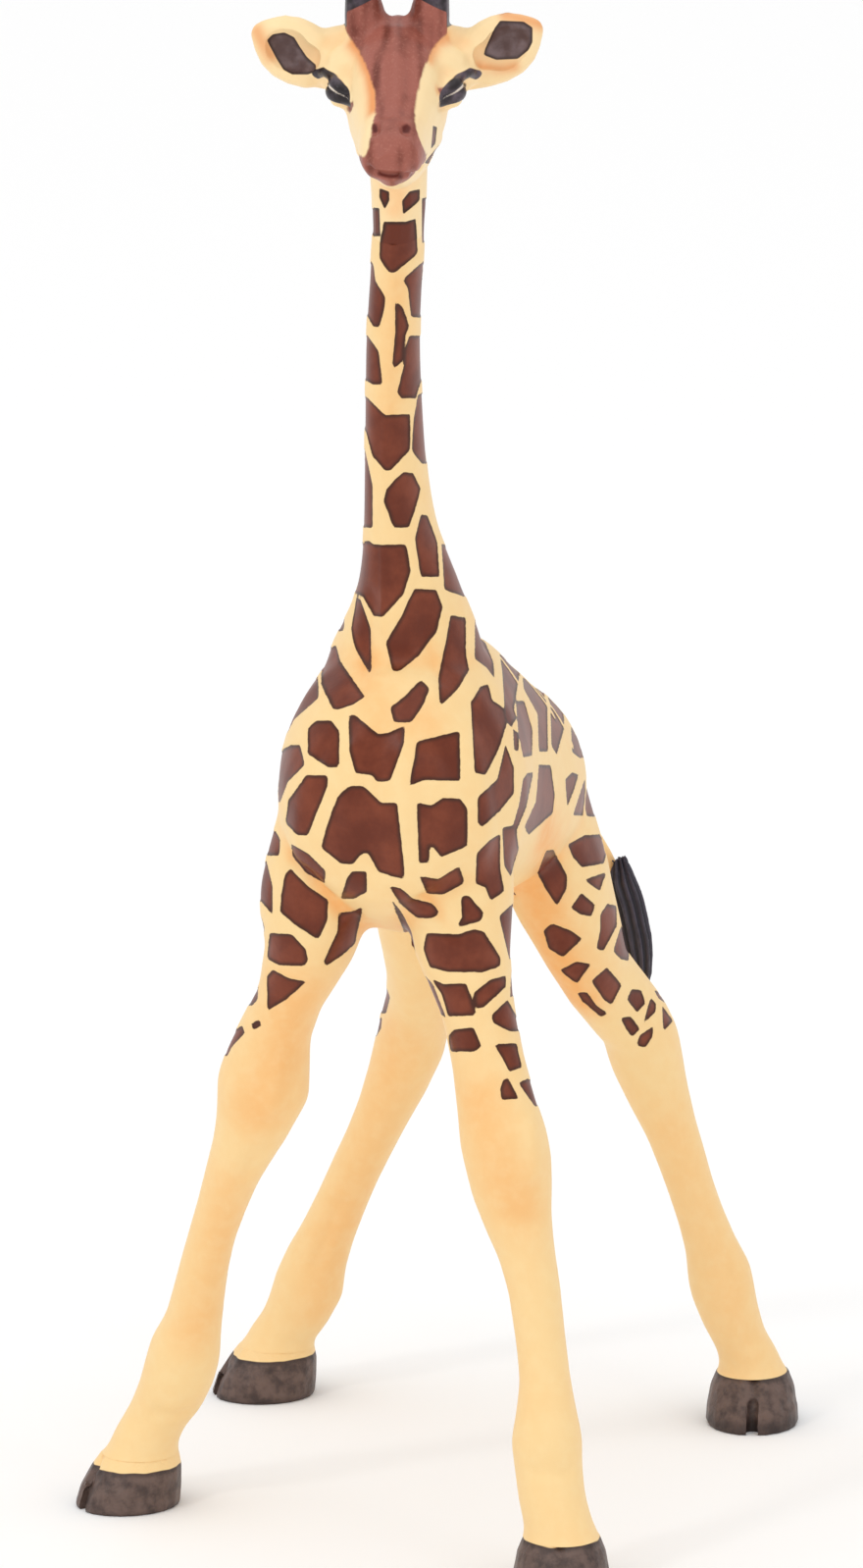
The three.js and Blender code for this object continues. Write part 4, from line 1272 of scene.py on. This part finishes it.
def build_head(material, body_points, body_patches):
    """The head, the ears and the horns, with the body's patches going on up the nape."""
    nodes = ["head", "left_horn", "right_horn", "left_ear", "right_ear"]
    piece = moulding("head", "head", "neck", *nodes[1:], above=HEAD_FROM)
    lay_clay(piece, HEAD_CLAY)
    net = to_skin(piece, HEAD_GRAIN, HEAD_ROUNDS, SWELL)
    raise_chin(piece)
    sculpt(piece, HEAD_STROKES)
    dark, glint = set_eyes(piece)
    near = body_points[:, 2] > NAPE_FROM

    def unseen_nape(target, net, typed):
        forward, left, up = head_spots(target.points)
        throat = (forward > 0.3) & (up > -6.6)
        lent = borrow(body_patches[near], body_points[near], target.points)
        return np.where(target.shown | throat, UNPAINTED, lent)

    coat(piece, net, unseen_nape)
    paint_face(piece, net, dark, glint)
    cuts = [seam("neck", "head")]
    for side in (-1, 1):
        forward, left, up = EAR_ROOT
        cuts.append((head_place(forward, side * left, up), HEAD_LEFT * side, EAR_ROUND))
        horn = head_place(HORN_ROOT[0], side * HORN_ROOT[1], 0)
        cuts.append(((horn.x, horn.y, HORN_CUT), (0, 0, 1), HORN_ROUND))
    for node, part in claim(part_at_seams(piece, cuts), nodes).items():
        finish_piece(part, node, material)


# The hooves, the mane and the tail.


def build_hoof(leg, material):
    hoof = f"{leg}_hoof"
    block, _ = sculpting_block("hoof", hoof, f"{leg}_leg", grain=HOOF_GRAIN, below=HOOF_BELOW)
    sculpt(block, HOOF_STROKES)
    points = places(block.data)
    keep(block.data, "hoof", HOOF_EDGE[leg] - points[:, 2] + 0.12 * roughly(points, 0.7))
    keep(block.data, "shade_and_warmth", np.zeros(len(points)))
    piece = claim(part_at_seams(block, [seam(hoof, f"{leg}_leg")]), [hoof])[hoof]
    finish_piece(piece, hoof, material)


def comb(piece, depth, phase):
    """Presses strands of hair into a piece."""
    strand = np.sin(phase)
    keep(piece.data, "strand", strand)
    place(piece.data, places(piece.data) - (depth * (1 - strand) / 2)[:, None] * normals(piece.data))


def build_mane(material):
    piece, _ = sculpting_block("mane", "mane", grain=HAIR_GRAIN, swell=0)
    points = places(piece.data)
    x, y, z = points.T
    comb(piece, 0.13, 2 * math.pi * (z * 1.1 - y * 0.7) + 3.0 * roughly(points, 0.6))
    finish_piece(piece, "mane", material)


def build_tuft(material):
    """The tail's tuft, thinner where it leaves the tail, its hair combed down."""
    piece, _ = sculpting_block("tail_tuft", "tail_tuft", grain=HAIR_GRAIN, swell=0)
    points = places(piece.data)
    heights = np.linspace(points[:, 2].min(), points[:, 2].max(), 13)
    near = [np.abs(points[:, 2] - height) < 0.6 for height in heights]
    middles = np.array([(points[some].min(axis=0) + points[some].max(axis=0)) / 2 for some in near])
    middle = np.stack([np.interp(points[:, 2], heights, middles[:, i]) for i in (0, 1)], axis=1)
    out = points[:, :2] - middle
    slim = 1 - 0.25 * smooth_step(heights[-1] - 3, heights[-1], points[:, 2])
    points[:, :2] = middle + out * slim[:, None]
    place(piece.data, points)
    around = np.arctan2(out[:, 1], out[:, 0])
    comb(piece, 0.24, 11 * around + 0.5 * points[:, 2] + 2.5 * roughly(points, 0.3))
    finish_piece(piece, "tail_tuft", material)


def build_tail(material):
    piece, _ = sculpting_block("tail", "tail", grain=HAIR_GRAIN, swell=0)
    keep(piece.data, "shade_and_warmth", 0.3 + 0.3 * roughly(places(piece.data), 0.3))
    finish_piece(piece, "tail", material)


# The room, its light and the camera.


def put(name, data):
    """A new light or camera in the scene."""
    thing = bpy.data.objects.new(name, data)
    bpy.context.scene.collection.objects.link(thing)
    return thing


def pale_floor():
    bpy.ops.mesh.primitive_plane_add(size=30, location=(0, 0, 0))
    floor = bpy.context.object
    floor.name = "floor"
    material = bpy.data.materials.new("pale_floor")
    material.use_nodes = True
    shader = material.node_tree.nodes["Principled BSDF"].inputs
    shader["Base Color"].default_value = (0.98, 0.98, 0.98, 1)
    shader["Roughness"].default_value = 0.9
    floor.data.materials.append(material)


def softbox(name, at, size, watts):
    light = bpy.data.lights.new(name, "AREA")
    light.size = size
    light.energy = watts
    lamp = put(name, light)
    lamp.location = at
    lamp.rotation_euler = (Vector((0, 0, 0.06)) - Vector(at)).to_track_quat("-Z", "Y").to_euler()


def daylight(name, height, turn, strength):
    """A broad even light from far off, at a height and turned from the front, both in degrees."""
    light = bpy.data.lights.new(name, "SUN")
    light.energy = strength
    light.angle = math.radians(70)
    put(name, light).rotation_euler = (math.radians(90 - height), 0, math.radians(turn))


def white_paper():
    """The paper behind and all round, which looks whiter than the light that it gives."""
    world = bpy.data.worlds.new("studio")
    bpy.context.scene.world = world
    world.use_nodes = True
    nodes, links = world.node_tree.nodes, world.node_tree.links
    background = nodes["Background"].inputs
    background["Color"].default_value = (1, 1, 1, 1)
    seen = nodes.new("ShaderNodeLightPath").outputs["Is Camera Ray"]
    strength = nodes.new("ShaderNodeMath")
    strength.operation = "MULTIPLY_ADD"
    strength.inputs[1].default_value = 0.17
    strength.inputs[2].default_value = 0.8
    links.new(seen, strength.inputs[0])
    links.new(strength.outputs[0], background["Strength"])


def studio():
    pale_floor()
    white_paper()
    daylight("sky", 78, -12, 0.68)
    softbox("key", (-0.35, -0.6, 0.55), 0.1, 0.6)
    softbox("fill", (0.65, -0.5, 0.3), 0.14, 0.2)
    bpy.context.scene.view_settings.view_transform = "Standard"


def photographer():
    lens = bpy.data.cameras.new("camera")
    lens.sensor_fit = "VERTICAL"
    lens.sensor_height = 36
    lens.lens = 36 * CAMERA_DISTANCE * PIXELS_PER_MM / PHOTO_HEIGHT
    lens.clip_start = 0.01
    camera = put("camera", lens)
    turn = Matrix((CAMERA_RIGHT, CAMERA_UP, TO_CAMERA)).transposed().to_4x4()
    camera.matrix_world = Matrix.Translation(CAMERA_AT * MM) @ turn
    bpy.context.scene.camera = camera


cream_group, patch_group = shaded_and_warmed_cream(), brushed_patches()
hoof_paint = hoof_vinyl(cream_group)
body_coat = build_body(patched_vinyl(cream_group, patch_group))
build_head(painted_face(cream_group, patch_group), *body_coat)
for leg in LEGS:
    build_hoof(leg, hoof_paint)
build_mane(hair_vinyl("brown_vinyl", MANE_BROWN, MANE_DEEP, 0.4))
build_tuft(hair_vinyl("black_vinyl", TUFT_GREY, TUFT_BLACK, 0.34))
build_tail(cream_vinyl(cream_group))
studio()
photographer()
